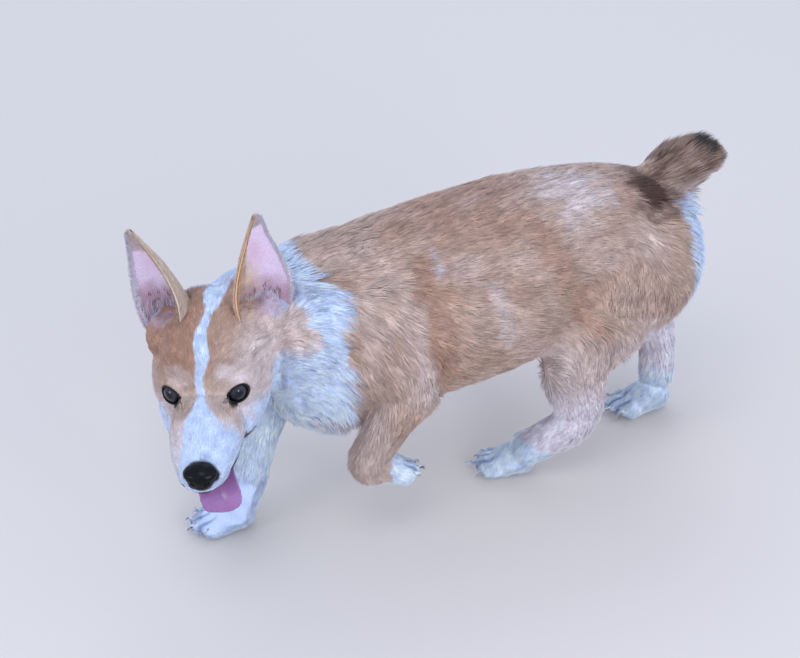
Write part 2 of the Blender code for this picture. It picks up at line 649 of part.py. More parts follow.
def shape(flesh, place):
    """Sinks the hollows between muscles, and presses the lids over the eyes."""
    points, normals = coordinates(flesh.data), vertex_normals(flesh.data)
    for line, width, depth in BODY_GROOVES:
        points = groove(points, normals, line, width, depth)
    for line, width, depth in HEAD_GROOVES:
        points = groove(points, normals, [tuple(place @ Vector(p)) for p in line], width, depth)
    for side in (1, -1):
        points = press_lids(points, place @ eye_frame(side))
    set_coordinates(flesh.data, points)


def press_lids(points, frame):
    """Brings the skin in front of an eyeball to an even depth over it, and blends that into the face."""
    centre, gaze = np.array(frame.translation), np.array(frame.col[2][:3])
    away = points - centre
    reach = np.linalg.norm(away, axis=1)
    angle = np.degrees(np.arccos(np.clip(away @ gaze / reach, -1, 1)))
    share = np.clip((LID_SPREAD - angle) / (LID_SPREAD - LID_FULL), 0, 1)
    share = share * share * (3 - 2 * share) * (reach < 3 * EYE_RADIUS)
    return centre + away * (1 + share * ((EYE_RADIUS + LID) / reach - 1))[:, None]


def thin(obj, target, group=""):
    """Fewer triangles, and where the group weighs less the mesh stays finer."""
    obj.data.calc_loop_triangles()
    step = obj.modifiers.new("thin", "DECIMATE")
    step.ratio = target / len(obj.data.loop_triangles)
    step.use_collapse_triangulate = True
    if group:
        step.vertex_group = group
        step.vertex_group_factor = COARSE_FACTOR
    return apply_modifiers(obj)


def weigh(obj, place):
    """A group that weighs the body most, the paws less and the face least."""
    points = coordinates(obj.data)
    inverse = np.array(place.inverted())
    x, y, z = (points @ inverse[:3, :3].T + inverse[:3, 3]).T
    face = (x > FACE_BACK) & (np.abs(y) < FACE_SIDE) & (np.abs(z) < FACE_HIGH)
    low = (points[:, 2] < LOW) & ~face
    group = obj.vertex_groups.new(name="coarse")
    for weight, mask in ((1.0, ~face & ~low), (0.7, low), (0.4, face)):
        group.add([int(i) for i in np.nonzero(mask)[0]], weight, "REPLACE")
    return group.name


def ear(name, side, place):
    """A cupped ear: an inner and an outer arc at each height, closed over the rim."""
    base, tip = (np.array(ends[side]) * (1, side, 1) for ends in (EAR_BASES, EAR_TIPS))
    height = np.linalg.norm(tip - base)
    axis = (tip - base) / height
    turn = np.linspace(-1, 1, 9)
    rings = []
    for share, wide, half_angle in EAR_PROFILE:
        out = math.radians(np.interp(share, EAR_TWIST, EAR_FACING[side]))
        front = np.array((math.cos(out), side * math.sin(out), 0.0))
        front -= axis * (front @ axis)
        front /= np.linalg.norm(front)
        across = np.cross(axis, front)
        angle = math.radians(half_angle)
        width = EAR_HALF_WIDTHS[side] * wide
        radius = width / math.sin(angle)
        thick = EAR_THICK * (1 - 0.45 * turn ** 2) * (1 - 0.55 * max(share, 0)) * min(1.0, 0.25 + wide)
        bow = 0.006 * math.sin(math.pi * max(share, 0))
        centre = base + axis * height * share + front * (radius * math.cos(angle) - bow)
        centre += across * side * EAR_BOWS[side] * math.sin(math.pi * max(share, 0))
        inner = [centre + radius * (math.sin(angle * t) * across - math.cos(angle * t) * front) for t in turn]
        outer = [centre + (radius + k) * (math.sin(angle * t) * across - math.cos(angle * t) * front)
                 for t, k in zip(turn, thick)]
        rings.append(np.array(inner + outer[::-1]))
    tips = (rings[0].mean(0) - axis * 0.001, rings[-1].mean(0) + axis * 0.0012)
    return skin_rings(name, rings, tips, place)


def jaw_matrix(place):
    hinge = Matrix.Translation(JAW_HINGE)
    return place @ hinge @ Matrix.Rotation(math.radians(JAW_OPEN), 4, "Y") @ hinge.inverted()


def tongue(place):
    """A bent sheet that lies along the jaw and hangs over its front, with a groove down the middle."""
    rows = catmull(TONGUE, 2)
    along = np.gradient(rows, axis=0)
    along /= np.linalg.norm(along, axis=1)[:, None]
    side = np.array((0.0, 1.0, 0.0))
    across = side - along * (along @ side)[:, None]
    across /= np.linalg.norm(across, axis=1)[:, None]
    over = np.cross(along, across)
    share = np.linspace(0, 1, len(rows))
    half = TONGUE_WIDTH / 2 * np.interp(share, *np.transpose(TONGUE_PROFILE))
    turn = np.linspace(-1, 1, 7)
    rings = []
    for i, centre in enumerate(rows):
        spread = centre + np.outer(half[i] * turn, across[i])
        curl, groove_depth = 0.0022 * turn ** 2, 0.0012 * np.exp(-(turn / 0.16) ** 2)
        thick = TONGUE_THICK / 2 * np.sqrt(1.08 - turn ** 2)
        top = spread + np.outer(curl - groove_depth + thick, over[i])
        low = spread + np.outer(curl - thick, over[i])
        rings.append(np.vstack([top, low[::-1]]))
    tips = (rings[0].mean(0) - along[0] * 0.001, rings[-1].mean(0) + along[-1] * 0.0016)
    return skin_rings("tongue", rings, tips, place)


def nose(place):
    """The nose leather, wide at its top and narrow at the lip."""
    at = place @ Matrix.Translation(NOSE_AT)
    pads = [ball("pad", centre, radii, place=at) for centre, radii in NOSE_PADS]
    return thin(fuse("nose_pad", pads, NOSE_VOXEL, NOSE_SMOOTHING), NOSE_TRIANGLES)


def nostrils(pad, place):
    """Comma-shaped nostrils, and the groove between them."""
    at = place @ Matrix.Translation(NOSE_AT)
    for side in (1, -1):
        for hollow in (NOSTRIL, NOSTRIL_SLIT):
            combine(pad, ball("hollow", *mirrored(hollow, side), at, 8), "DIFFERENCE")
    combine(pad, ball("groove", *NOSE_GROOVE, at, 8), "DIFFERENCE")


def colour(obj, name, rgb, roughness):
    material = bpy.data.materials.new(name)
    material.use_nodes = True
    shader = material.node_tree.nodes["Principled BSDF"]
    shader.inputs["Base Color"].default_value = (*rgb, 1.0)
    shader.inputs["Roughness"].default_value = roughness
    obj.data.materials.clear()
    obj.data.materials.append(material)


def part_body(flesh, place):
    """Parts the fused flesh into named nodes."""
    nodes = {}
    head = part_off(flesh, "head", loft("region", HEAD_REGION, 20, 1, place=place))
    for name, stations in REGIONS.items():
        nodes[name] = part_off(flesh, name, loft("region", stations, 14, 1))
    nodes["trunk"] = flesh
    for which, above, below, point, normal in PLANES:
        upper, lower = halves(nodes.pop(which), (above, below), point, normal)
        nodes[above], nodes[below] = upper, lower
    nodes["head"] = head
    return nodes


def centre(objects):
    """Moves everything so that the middle of the bounding box is over the origin."""
    every = np.vstack([coordinates(obj.data) for obj in objects])
    middle = (every.min(0) + every.max(0)) / 2
    for obj in objects:
        obj.data.transform(Matrix.Translation((-middle[0], -middle[1], 0.0)))


def eyes(head, place):
    """Opens the lids over each eyeball, and returns the eyeballs."""
    balls = {}
    for side, name in ((1, "eye_left"), (-1, "eye_right")):
        where = place @ eye_frame(side)
        socket = ball("socket", (0, 0, 0), (EYE_RADIUS + GAP,) * 3, place=where, segments=16)
        combine(head, almond("opening", side, place), "DIFFERENCE")
        combine(head, socket, "DIFFERENCE")
        balls[name] = ball(name, (0, 0, 0), (EYE_RADIUS,) * 3, place=where, segments=16)
    return balls


def mouth(blank, place):
    """The lower jaw, and the tongue that lies in it, both clear of the flesh."""
    jaw = loft("lower_jaw", JAW, sides=14, steps=2, place=jaw_matrix(place))
    combine(jaw, blank, "DIFFERENCE", keep=True)
    licking = combine(tongue(place), blank, "DIFFERENCE", keep=True)
    combine(licking, copy_of(jaw, "hollow", GAP), "DIFFERENCE")
    return {"lower_jaw": jaw, "tongue": licking}


def main():
    clear_scene()
    place = head_matrix()
    flesh = fuse("flesh", body_pieces() + head_pieces(place), VOXEL, SMOOTHING)
    shape(flesh, place)
    thin(flesh, FLESH_TRIANGLES, weigh(flesh, place))
    combine(flesh, block("ground", Matrix.Identity(4), (-REACH, -REACH, -REACH), (REACH, REACH, 0.0)),
            "DIFFERENCE")
    pad = nose(place)
    combine(flesh, copy_of(pad, "hollow", GAP), "DIFFERENCE")
    blank = copy_of(flesh, "blank", GAP)
    nodes = part_body(flesh, place)
    nostrils(pad, place)
    nodes["nose_pad"] = pad
    for side, name in ((1, "ear_left"), (-1, "ear_right")):
        nodes[name] = combine(ear(name, side, place), blank, "DIFFERENCE", keep=True)
    nodes.update(mouth(blank, place))
    bpy.data.objects.remove(blank)
    nodes.update(eyes(nodes["head"], place))
    for name, paw in PAWS.items():
        combine(nodes[name], join("claws", claw_pieces(*paw)), "UNION")
    centre(nodes.values())
    kept = bpy.data.collections.new("corgi")
    bpy.context.scene.collection.children.link(kept)
    for name, node in nodes.items():
        node.name = node.data.name = name
        bpy.context.scene.collection.objects.unlink(node)
        kept.objects.link(node)
        colour(node, name, *LOOKS.get(name, (TAN, 0.85)))


main()
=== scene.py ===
"""Looks of a young Pembroke Welsh corgi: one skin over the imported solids, a short coat in solid tufts,
eyes with lids, ears, nose leather, tongue and claws.

Places are in metres. The trunk is laid out in its own frame, with the dog heading along -X and its
left side at -Y, and the head in another, with x to the nose, y to its left and z up.
"""

import json
import math

import bmesh
import bpy
import numpy as np
from mathutils import Matrix, Vector
from mathutils.kdtree import KDTree

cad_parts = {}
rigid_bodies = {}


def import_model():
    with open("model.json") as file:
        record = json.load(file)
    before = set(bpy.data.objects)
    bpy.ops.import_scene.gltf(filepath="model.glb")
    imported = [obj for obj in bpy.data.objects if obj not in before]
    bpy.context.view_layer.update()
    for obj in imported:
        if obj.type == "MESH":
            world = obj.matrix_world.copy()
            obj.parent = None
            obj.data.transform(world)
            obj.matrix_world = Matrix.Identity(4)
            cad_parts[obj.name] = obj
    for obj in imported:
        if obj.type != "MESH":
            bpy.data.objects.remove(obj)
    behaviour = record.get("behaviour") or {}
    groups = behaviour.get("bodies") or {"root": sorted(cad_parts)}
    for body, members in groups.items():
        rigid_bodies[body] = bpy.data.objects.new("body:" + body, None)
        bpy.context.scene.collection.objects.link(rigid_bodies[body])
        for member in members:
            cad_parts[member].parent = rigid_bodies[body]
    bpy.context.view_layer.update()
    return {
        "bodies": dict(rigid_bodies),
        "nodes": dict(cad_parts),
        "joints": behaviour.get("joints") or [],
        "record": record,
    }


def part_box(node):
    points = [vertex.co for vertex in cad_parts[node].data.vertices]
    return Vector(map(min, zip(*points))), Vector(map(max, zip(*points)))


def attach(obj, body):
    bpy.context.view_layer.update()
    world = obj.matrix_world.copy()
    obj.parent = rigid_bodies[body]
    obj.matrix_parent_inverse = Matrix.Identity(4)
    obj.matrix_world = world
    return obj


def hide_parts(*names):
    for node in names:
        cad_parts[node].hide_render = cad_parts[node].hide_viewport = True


# The camera
CAMERA_AZIMUTH, CAMERA_ELEVATION = -27.1, 31.9
CAMERA_AIM = (-0.073, -0.030, 0.174)      # in the trunk's frame
CAMERA_DISTANCE = 1.847
CAMERA_LENS, CAMERA_SENSOR = 109.71, 36.0

# The head, as in the solids
HEAD_AT = (-0.2404, -0.0435, 0.1755)
HEAD_YAW, HEAD_PITCH, HEAD_ROLL = 60.0, 19.0, 5.0
EYE_RADIUS = 0.0100
EYE_AT = (-0.0072, 0.0214, -0.0066)
EYE_OUT, EYE_UP, EYE_SLANT = 30.0, 23.0, 8.0
EYE_WIDTH = 0.0172
EYE_HEIGHTS = (0.0080, 0.0049)   # of the opening above and below its corners
EYE_DROP = 0.0025                # how far the corners sit below the gaze
LID = 0.0011
LID_FULL, LID_SPREAD = 52.0, 86.0
NOSE_AT = (0.0675, 0.0026, -0.0118)
EAR_BASES = {1: (-0.050, 0.0450, 0.0130), -1: (-0.050, 0.0365, 0.0125)}
EAR_TIPS = {1: (-0.070, 0.0500, 0.1130), -1: (-0.064, 0.0435, 0.1060)}
EAR_HALF_WIDTHS = {1: 0.0222, -1: 0.0252}
EAR_BOWS = {1: 0.0030, -1: 0.0}
EAR_THICK = 0.0024
EAR_TWIST = (0.30, 0.72)
EAR_FACING = {1: (34.0, 58.0), -1: (38.0, 38.0)}
EAR_BOWLS = {1: (-0.066, 0.047, 0.024), -1: (-0.060, -0.032, 0.019)}
EAR_BAND = {1: (-0.25, -0.05, 0.15, 0.25, 0.05), -1: (0.00, -0.05, -0.08, -0.45, -1.3)}
EAR_PROFILE = [
    (-0.16, 0.50, 100), (0.0, 0.76, 98), (0.10, 0.91, 90), (0.20, 0.99, 80), (0.32, 0.99, 68),
    (0.46, 0.90, 58), (0.60, 0.74, 52), (0.74, 0.54, 46), (0.87, 0.32, 42), (0.96, 0.16, 40),
    (1.0, 0.06, 38),
]
# Paws: heel, heading in degrees from -X towards +Y, toes-down pitch, length, half width
PAWS = {
    "forepaw_left": ((-0.107, -0.048, 0.065), 180.0, 8.0, 0.042, 0.0160),
    "forepaw_right": ((-0.184, 0.0150, 0.0094), 13.0, 0.0, 0.049, 0.0190),
    "hind_paw_left": ((0.048, -0.0245, 0.0094), 33.0, 0.0, 0.048, 0.0175),
    "hind_paw_right": ((0.196, 0.010, 0.0094), 10.0, 0.0, 0.052, 0.0175),
}
TOES = [(-0.66, -13.0, 0.78), (-0.24, -4.0, 0.95), (0.24, 4.0, 0.95), (0.66, 13.0, 0.78)]
TOE_GAPS = np.array((-0.45, 0.0, 0.45))
CLAW = [(0.0000, 0.0002, 0.0012), (0.0012, 0.0001, 0.0011), (0.0024, -0.0005, 0.0008), (0.0033, -0.0016, 0.0003)]

FLESH = [
    "head", "neck", "ribcage", "loin", "rump", "tail", "lower_jaw", "shoulder_left", "shoulder_right",
    "forearm_left", "forearm_right", "forepaw_left", "forepaw_right", "thigh_left", "thigh_right",
    "shank_left", "shank_right", "pastern_left", "pastern_right", "hind_paw_left", "hind_paw_right",
]
SKIN_VOXEL = 0.0015
FLOOR_GAP = 0.0002          # the lowest hair stays this far above the floor

# Lie of the coat: lines that the hair follows, in the trunk's frame, the last four pairs mirrored
LIE_MIDDLE = {
    "trunk": [
        [(-0.17, 0, 0.235), (-0.12, 0, 0.238), (-0.04, 0, 0.252), (0.06, 0, 0.257), (0.13, 0, 0.245), (0.15, 0, 0.235)],
        [(-0.10, 0, 0.097), (0.00, 0, 0.101), (0.08, 0, 0.118), (0.12, 0, 0.135)],
        [(0.180, 0, 0.190), (0.188, 0, 0.160), (0.170, 0, 0.125)],
    ],
    "neck": [[(-0.200, -0.010, 0.140), (-0.180, -0.004, 0.118), (-0.150, 0, 0.092), (-0.10, 0, 0.088)]],
    "tail": [[(0.148, 0, 0.210), (0.164, 0, 0.219), (0.186, 0, 0.231), (0.205, 0, 0.2375), (0.235, 0, 0.236)]],
}
LIE_SIDES = {
    "neck": [
        [(-0.200, 0.045, 0.205), (-0.165, 0.052, 0.190), (-0.130, 0.056, 0.165), (-0.105, 0.055, 0.125)],
        [(-0.190, 0.030, 0.228), (-0.150, 0.040, 0.225), (-0.120, 0.052, 0.205), (-0.10, 0.064, 0.180)],
    ],
    "trunk": [
        [(-0.12, 0.042, 0.235), (-0.04, 0.052, 0.232), (0.06, 0.052, 0.228), (0.12, 0.046, 0.216), (0.16, 0.040, 0.19)],
        [(-0.07, 0.070, 0.205), (0.00, 0.075, 0.182), (0.06, 0.070, 0.166), (0.10, 0.07, 0.15)],
        [(-0.05, 0.058, 0.135), (0.02, 0.050, 0.118), (0.08, 0.045, 0.120)],
        [(0.150, 0.045, 0.205), (0.175, 0.040, 0.180), (0.182, 0.032, 0.150), (0.165, 0.04, 0.12)],
    ],
}
LIE_LEGS = {
    "foreleg_left": [
        (-0.088, -0.040, 0.205), (-0.086, -0.050, 0.168), (-0.076, -0.057, 0.140), (-0.088, -0.056, 0.118),
        (-0.101, -0.053, 0.098), (-0.111, -0.050, 0.080), (-0.107, -0.048, 0.066), (-0.062, -0.048, 0.060),
    ],
    "foreleg_right": [
        (-0.088, 0.040, 0.205), (-0.102, 0.046, 0.165), (-0.112, 0.047, 0.135), (-0.136, 0.040, 0.105),
        (-0.158, 0.032, 0.078), (-0.174, 0.025, 0.052), (-0.184, 0.020, 0.022), (-0.235, 0.031, 0.010),
    ],
    "hindleg_left": [
        (0.128, -0.040, 0.215), (0.112, -0.055, 0.172), (0.088, -0.058, 0.138), (0.074, -0.051, 0.112),
        (0.082, -0.050, 0.085), (0.087, -0.047, 0.067), (0.074, -0.042, 0.050), (0.048, -0.026, 0.026),
        (0.005, -0.052, 0.010),
    ],
    "hindleg_right": [
        (0.128, 0.040, 0.215), (0.140, 0.050, 0.172), (0.152, 0.048, 0.138), (0.174, 0.042, 0.112),
        (0.192, 0.036, 0.090), (0.203, 0.029, 0.066), (0.196, 0.018, 0.030), (0.142, 0.020, 0.010),
    ],
}
# The same on the head, in its own frame
LIE_FACE = [
    [(0.068, 0, -0.004), (0.035, 0, 0.000), (0.012, 0, 0.006), (-0.015, 0, 0.026), (-0.050, 0, 0.040), (-0.10, 0, 0.030)],
    [(0.060, 0, -0.050), (0.020, 0, -0.055), (-0.030, 0, -0.062), (-0.070, 0, -0.050)],
]
LIE_FACE_SIDES = [
    [(0.062, 0.014, -0.018), (0.035, 0.027, -0.020), (0.000, 0.034, -0.024), (-0.035, 0.050, -0.020), (-0.080, 0.045, -0.01)],
    [(0.058, 0.014, -0.034), (0.020, 0.028, -0.036), (-0.020, 0.040, -0.042), (-0.060, 0.045, -0.045)],
    [(0.012, 0.012, 0.004), (-0.004, 0.020, 0.012), (-0.024, 0.034, 0.022), (-0.050, 0.046, 0.018)],
    [(0.016, 0.024, -0.012), (0.000, 0.034, -0.014), (-0.025, 0.046, -0.004), (-0.06, 0.052, 0.004)],
]

# Coat colours as they look in daylight
TAN = (0.758, 0.641, 0.574)
RUST = (0.680, 0.515, 0.430)
PALE = (0.880, 0.805, 0.795)
LIGHT = (0.930, 0.880, 0.915)
DARK = (0.310, 0.215, 0.165)
BLACK = (0.065, 0.058, 0.060)
# Painted glow of light shining through the thin edge of the left ear
EAR_GLOW_ORANGE = (0.930, 0.715, 0.530)
WHITE = (0.806, 0.856, 0.966)
PINK = (0.935, 0.850, 0.945)
EAR_TAN = (0.850, 0.740, 0.660)
# Painted shade deep in the base of an ear's inside
EAR_SHADE_MAUVE = (0.660, 0.510, 0.550)
# The inside of an ear's base with painted shade, painted on the head in front of the ear
BOWL = (0.780, 0.665, 0.700)
MOUTH = (0.360, 0.180, 0.200)


def linear(colour):
    """A display colour as linear light."""
    colour = np.asarray(colour, float)
    return np.where(colour <= 0.04045, colour / 12.92, ((colour + 0.055) / 1.055) ** 2.4)


def ramp(x, low, high):
    """A smooth step from 0 at low to 1 at high."""
    t = np.clip((x - low) / (high - low), 0, 1)
    return t * t * (3 - 2 * t)


def mix(a, b, share):
    share = np.asarray(share)[:, None]
    return np.asarray(a) * (1 - share) + np.asarray(b) * share


def wave(points, length, seed):
    """Smooth noise from -1 to 1, as a sum of waves of about that length."""
    rng = np.random.default_rng(seed)
    ways = rng.normal(size=(9, 3))
    ways *= (2 * math.pi / length / np.linalg.norm(ways, axis=1) * rng.uniform(0.6, 1.6, 9))[:, None]
    return np.sin(points @ ways.T + rng.uniform(0, 2 * math.pi, 9)).sum(1) / 4.2


def link(name, mesh):
    made = bpy.data.objects.new(name, mesh)
    bpy.context.scene.collection.objects.link(made)
    return made


def coordinates(mesh):
    out = np.empty(len(mesh.vertices) * 3, np.float32)
    mesh.vertices.foreach_get("co", out)
    return out.reshape(-1, 3).astype(float)


def vertex_normals(mesh):
    out = np.empty(len(mesh.vertices) * 3, np.float32)
    mesh.vertex_normals.foreach_get("vector", out)
    return out.reshape(-1, 3).astype(float)


def set_coordinates(mesh, points):
    mesh.vertices.foreach_set("co", points.astype(np.float32).ravel())
    mesh.update()


def mesh_from(name, points, triangles):
    """A mesh from arrays of points and triangles."""
    mesh = bpy.data.meshes.new(name)
    mesh.vertices.add(len(points))
    mesh.vertices.foreach_set("co", points.astype(np.float32).ravel())
    mesh.loops.add(len(triangles) * 3)
    mesh.loops.foreach_set("vertex_index", triangles.astype(np.int32).ravel())
    mesh.polygons.add(len(triangles))
    mesh.polygons.foreach_set("loop_start", np.arange(0, len(triangles) * 3, 3, dtype=np.int32))
    mesh.update(calc_edges=True)
    return mesh


def triangles_of(mesh):
    mesh.calc_loop_triangles()
    out = np.empty(len(mesh.loop_triangles) * 3, np.int32)
    mesh.loop_triangles.foreach_get("vertices", out)
    return out.reshape(-1, 3)


def smooth_shade(mesh):
    mesh.polygons.foreach_set("use_smooth", np.ones(len(mesh.polygons), bool))


def apply_modifiers(obj):
    graph = bpy.context.evaluated_depsgraph_get()
    fresh = bpy.data.meshes.new_from_object(obj.evaluated_get(graph))
    obj.modifiers.clear()
    obj.data = fresh
    return obj


def welded(objects, name):
    """Copies of the objects' meshes in one object, with doubled points joined."""
    work = bmesh.new()
    for obj in objects:
        work.from_mesh(obj.data)
    bmesh.ops.remove_doubles(work, verts=work.verts, dist=1e-6)
    mesh = bpy.data.meshes.new(name)
    work.to_mesh(mesh)
    work.free()
    return link(name, mesh)


def voxels(obj, size):
    step = obj.modifiers.new("voxels", "REMESH")
    step.mode = "VOXEL"
    step.voxel_size = size
    return apply_modifiers(obj)


def relax(mesh, weight, rounds, swell=0.0):
    """Evens the surface out. Each round with a swell gives back what it took off the volume."""
    points = coordinates(mesh)
    edges = np.empty(len(mesh.edges) * 2, np.int32)
    mesh.edges.foreach_get("vertices", edges)
    a, b = edges.reshape(-1, 2).T
    ends, others = np.concatenate([a, b]), np.concatenate([b, a])
    count = np.maximum(np.bincount(ends, minlength=len(points)), 1)
    weight = np.broadcast_to(weight, len(points))[:, None]
    for _ in range(rounds):
        for share in (0.6, -0.6 * swell):
            if share:
                mean = np.stack([np.bincount(ends, points[others, k], len(points)) for k in range(3)], 1)
                points += weight * share * (mean / count[:, None] - points)
    set_coordinates(mesh, points)


def skin_rings(rings, tips):
    """Points and triangles of a closed surface over rings of the same number of points."""
    sides = len(rings[0])
    points = np.vstack(list(rings) + [np.asarray(tips)])
    faces = []
    for r in range(len(rings) - 1):
        for k in range(sides):
            a, b = r * sides + k, r * sides + (k + 1) % sides
            faces += [(a, b, b + sides), (a, b + sides, a + sides)]
    start, end, low = len(points) - 2, len(points) - 1, (len(rings) - 1) * sides
    for k in range(sides):
        faces += [(start, (k + 1) % sides, k), (end, low + k, low + (k + 1) % sides)]
    return points, np.array(faces)


def moved(points, matrix):
    matrix = np.array(matrix)
    return points @ matrix[:3, :3].T + matrix[:3, 3]


def facing_out(mesh):
    work = bmesh.new()
    work.from_mesh(mesh)
    bmesh.ops.recalc_face_normals(work, faces=work.faces)
    work.to_mesh(mesh)
    work.free()


def head_matrix():
    """Places the head's frame in the row frame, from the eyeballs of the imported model."""
    yaw = Matrix.Rotation(math.radians(180 + HEAD_YAW), 4, "Z")
    pitch = Matrix.Rotation(math.radians(HEAD_PITCH), 4, "Y")
    roll = Matrix.Rotation(math.radians(HEAD_ROLL), 4, "X")
    turn = yaw @ pitch @ roll
    low, high = zip(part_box("eye_left"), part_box("eye_right"))
    middle = (low[0] + low[1] + high[0] + high[1]) / 4
    return Matrix.Translation(middle - turn @ Vector((EYE_AT[0], 0, EYE_AT[2]))) @ turn


def eye_frame(side):
    """A frame at an eyeball's centre, with z along the gaze and x along the opening."""
    out, up = math.radians(EYE_OUT), math.radians(EYE_UP)
    gaze = Vector((math.cos(out) * math.cos(up), side * math.sin(out) * math.cos(up), math.sin(up)))
    slant = math.radians(EYE_SLANT)
    level = Vector((0, 0, 1)).cross(gaze).normalized() * side
    high = gaze.cross(level) * side
    long = level * math.cos(slant) + high * math.sin(slant)
    frame = Matrix((long, gaze.cross(long), gaze)).transposed().to_4x4()
    frame.translation = Vector((EYE_AT[0], side * EYE_AT[1], EYE_AT[2]))
    return frame


def almond_line(count, side, grow=0.0):
    """The edge of the opening between the lids, seen along the gaze."""
    turn = np.linspace(0, 2 * math.pi, count, endpoint=False)
    x = (EYE_WIDTH / 2 + grow) * np.cos(turn)
    height = np.where(np.sin(turn) * side > 0, *EYE_HEIGHTS) + grow
    y = height * np.sign(np.sin(turn)) * np.abs(np.sin(turn)) ** 0.90
    return x, y - EYE_DROP * side


def almond_reach(eye, side):
    """How far out points of an eye's frame lie, with 1 at the edge of the opening."""
    high = eye[:, 1] * side + EYE_DROP
    height = np.where(high > 0, *EYE_HEIGHTS)
    return np.sqrt((eye[:, 0] / (EYE_WIDTH / 2)) ** 2 + (high / height) ** 2)


def press_lids(points, frame):
    """Brings the skin in front of an eyeball to an even depth over it, blended into the face."""
    centre, gaze = np.array(frame.translation), np.array(frame.col[2][:3])
    away = points - centre
    reach = np.linalg.norm(away, axis=1)
    angle = np.degrees(np.arccos(np.clip(away @ gaze / reach, -1, 1)))
    share = (1 - ramp(angle, LID_FULL, LID_SPREAD)) * (reach < 3 * EYE_RADIUS)
    return centre + away * (1 + share * ((EYE_RADIUS + LID) / reach - 1))[:, None]


def lid_cutter(place):
    """Prisms that open the lids over both eyeballs."""
    work = bmesh.new()
    for side in (1, -1):
        rings = []
        for z, scale in ((0.003, 0.8), (0.0075, 0.93), (0.0100, 1.0), (0.0130, 1.12), (0.0200, 1.3)):
            x, y = almond_line(40, side)
            rings.append(np.stack([x * scale, y * scale, np.full_like(x, z)], 1))
        points, faces = skin_rings(rings, ((0, 0, 0.003), (0, 0, 0.020)))
        work.from_mesh(mesh_from("prism", moved(points, place @ eye_frame(side)), faces))
    mesh = bpy.data.meshes.new("opening")
    work.to_mesh(mesh)
    work.free()
    facing_out(mesh)
    return link("opening", mesh)


def make_skin(nodes, place, trunk):
    """One skin over all the flesh, inside the solids by the depth of the coat."""
    fillers = []
    for side in (1, -1):
        work = bmesh.new()
        bmesh.ops.create_uvsphere(work, u_segments=32, v_segments=20, radius=EYE_RADIUS + LID)
        mesh = bpy.data.meshes.new("filler")
        work.to_mesh(mesh)
        work.free()
        mesh.transform(place @ eye_frame(side))
        fillers.append(link("filler", mesh))
    skin = voxels(welded([nodes[n] for n in FLESH] + fillers, "skin"), SKIN_VOXEL)
    for filler in fillers:
        bpy.data.objects.remove(filler)
    points = coordinates(skin.data)
    fine = fineness(points, place, trunk)
    relax(skin.data, 1.0, 6, 1.04)
    relax(skin.data, 1.0 - 0.92 * fine, 34, 1.0)
    points, normals = coordinates(skin.data), vertex_normals(skin.data)
    points -= normals * (0.0026 - 0.0019 * fine)[:, None]
    for side in (1, -1):
        points = press_lids(points, place @ eye_frame(side))
    set_coordinates(skin.data, points)
    cut = skin.modifiers.new("lids", "BOOLEAN")
    cut.operation = "DIFFERENCE"
    cut.solver = "MANIFOLD"
    cut.object = lid_cutter(place)
    apply_modifiers(skin)
    bpy.data.objects.remove(bpy.data.objects["opening"])
    smooth_shade(skin.data)
    return skin


def fineness(points, place, trunk):
    """1 on the face and paws, 0 on the trunk."""
    head = moved(points, place.inverted())
    own = points - trunk
    face = ramp(head[:, 0], -0.085, -0.055) * (1 - ramp(np.linalg.norm(head - (-0.01, 0, -0.01), axis=1), 0.085, 0.11))
    paws = 1 - ramp(own[:, 2], 0.030, 0.075)
    raised = 1 - ramp(np.linalg.norm(own - (-0.090, -0.048, 0.062), axis=1), 0.025, 0.045)
    return np.maximum(np.maximum(face, paws), raised)


def lie_lines(place, trunk):
    """Start, end and label of each stretch of the lines that the hair follows."""
    rows = []

    def take(label, line, mirror=1, head=False):
        line = np.array(line, float) * (1, mirror, 1)
        line = moved(line, place) if head else line + trunk
        rows.extend((label, a, b) for a, b in zip(line, line[1:]))

    for label, lines in LIE_MIDDLE.items():
        for line in lines:
            take(label, line)
    for label, lines in LIE_SIDES.items():
        for line in lines:
            take(label, line, 1)
            take(label, line, -1)
    for label, line in LIE_LEGS.items():
        take(label, line)
    for line in LIE_FACE:
        take("head", line, head=True)
    for line in LIE_FACE_SIDES:
        take("head", line, 1, True)
        take("head", line, -1, True)
    return rows


LABELS = ["head", "neck", "trunk", "tail", "foreleg_left", "foreleg_right", "hindleg_left", "hindleg_right"]


def lie_of(mesh, place, trunk):
    """The direction of the coat and the region's number at each point of the skin."""
    points, normals = coordinates(mesh), vertex_normals(mesh)
    rows = lie_lines(place, trunk)
    gaps = np.empty((len(rows), len(points)), np.float32)
    for k, (_, a, b) in enumerate(rows):
        span = b - a
        t = np.clip((points - a) @ span / (span @ span), 0, 1)
        gaps[k] = np.linalg.norm(points - a - t[:, None] * span, axis=1)
    region = np.array([LABELS.index(r[0]) for r in rows])[gaps.argmin(0)]
    weight = np.exp(-(gaps - gaps.min(0)) / 0.007)
    ways = np.array([(b - a) / np.linalg.norm(b - a) for _, a, b in rows])
    lie = weight.T @ ways
    edges = np.empty(len(mesh.edges) * 2, np.int32)
    mesh.edges.foreach_get("vertices", edges)
    a, b = edges.reshape(-1, 2).T
    ends, others = np.concatenate([a, b]), np.concatenate([b, a])
    for _ in range(12):
        lie -= normals * (lie * normals).sum(1)[:, None]
        lie /= np.maximum(np.linalg.norm(lie, axis=1), 1e-9)[:, None]
        lie = lie + np.stack([np.bincount(ends, lie[others, k], len(points)) for k in range(3)], 1)
    lie -= normals * (lie * normals).sum(1)[:, None]
    lie /= np.maximum(np.linalg.norm(lie, axis=1), 1e-9)[:, None]
    return lie, region


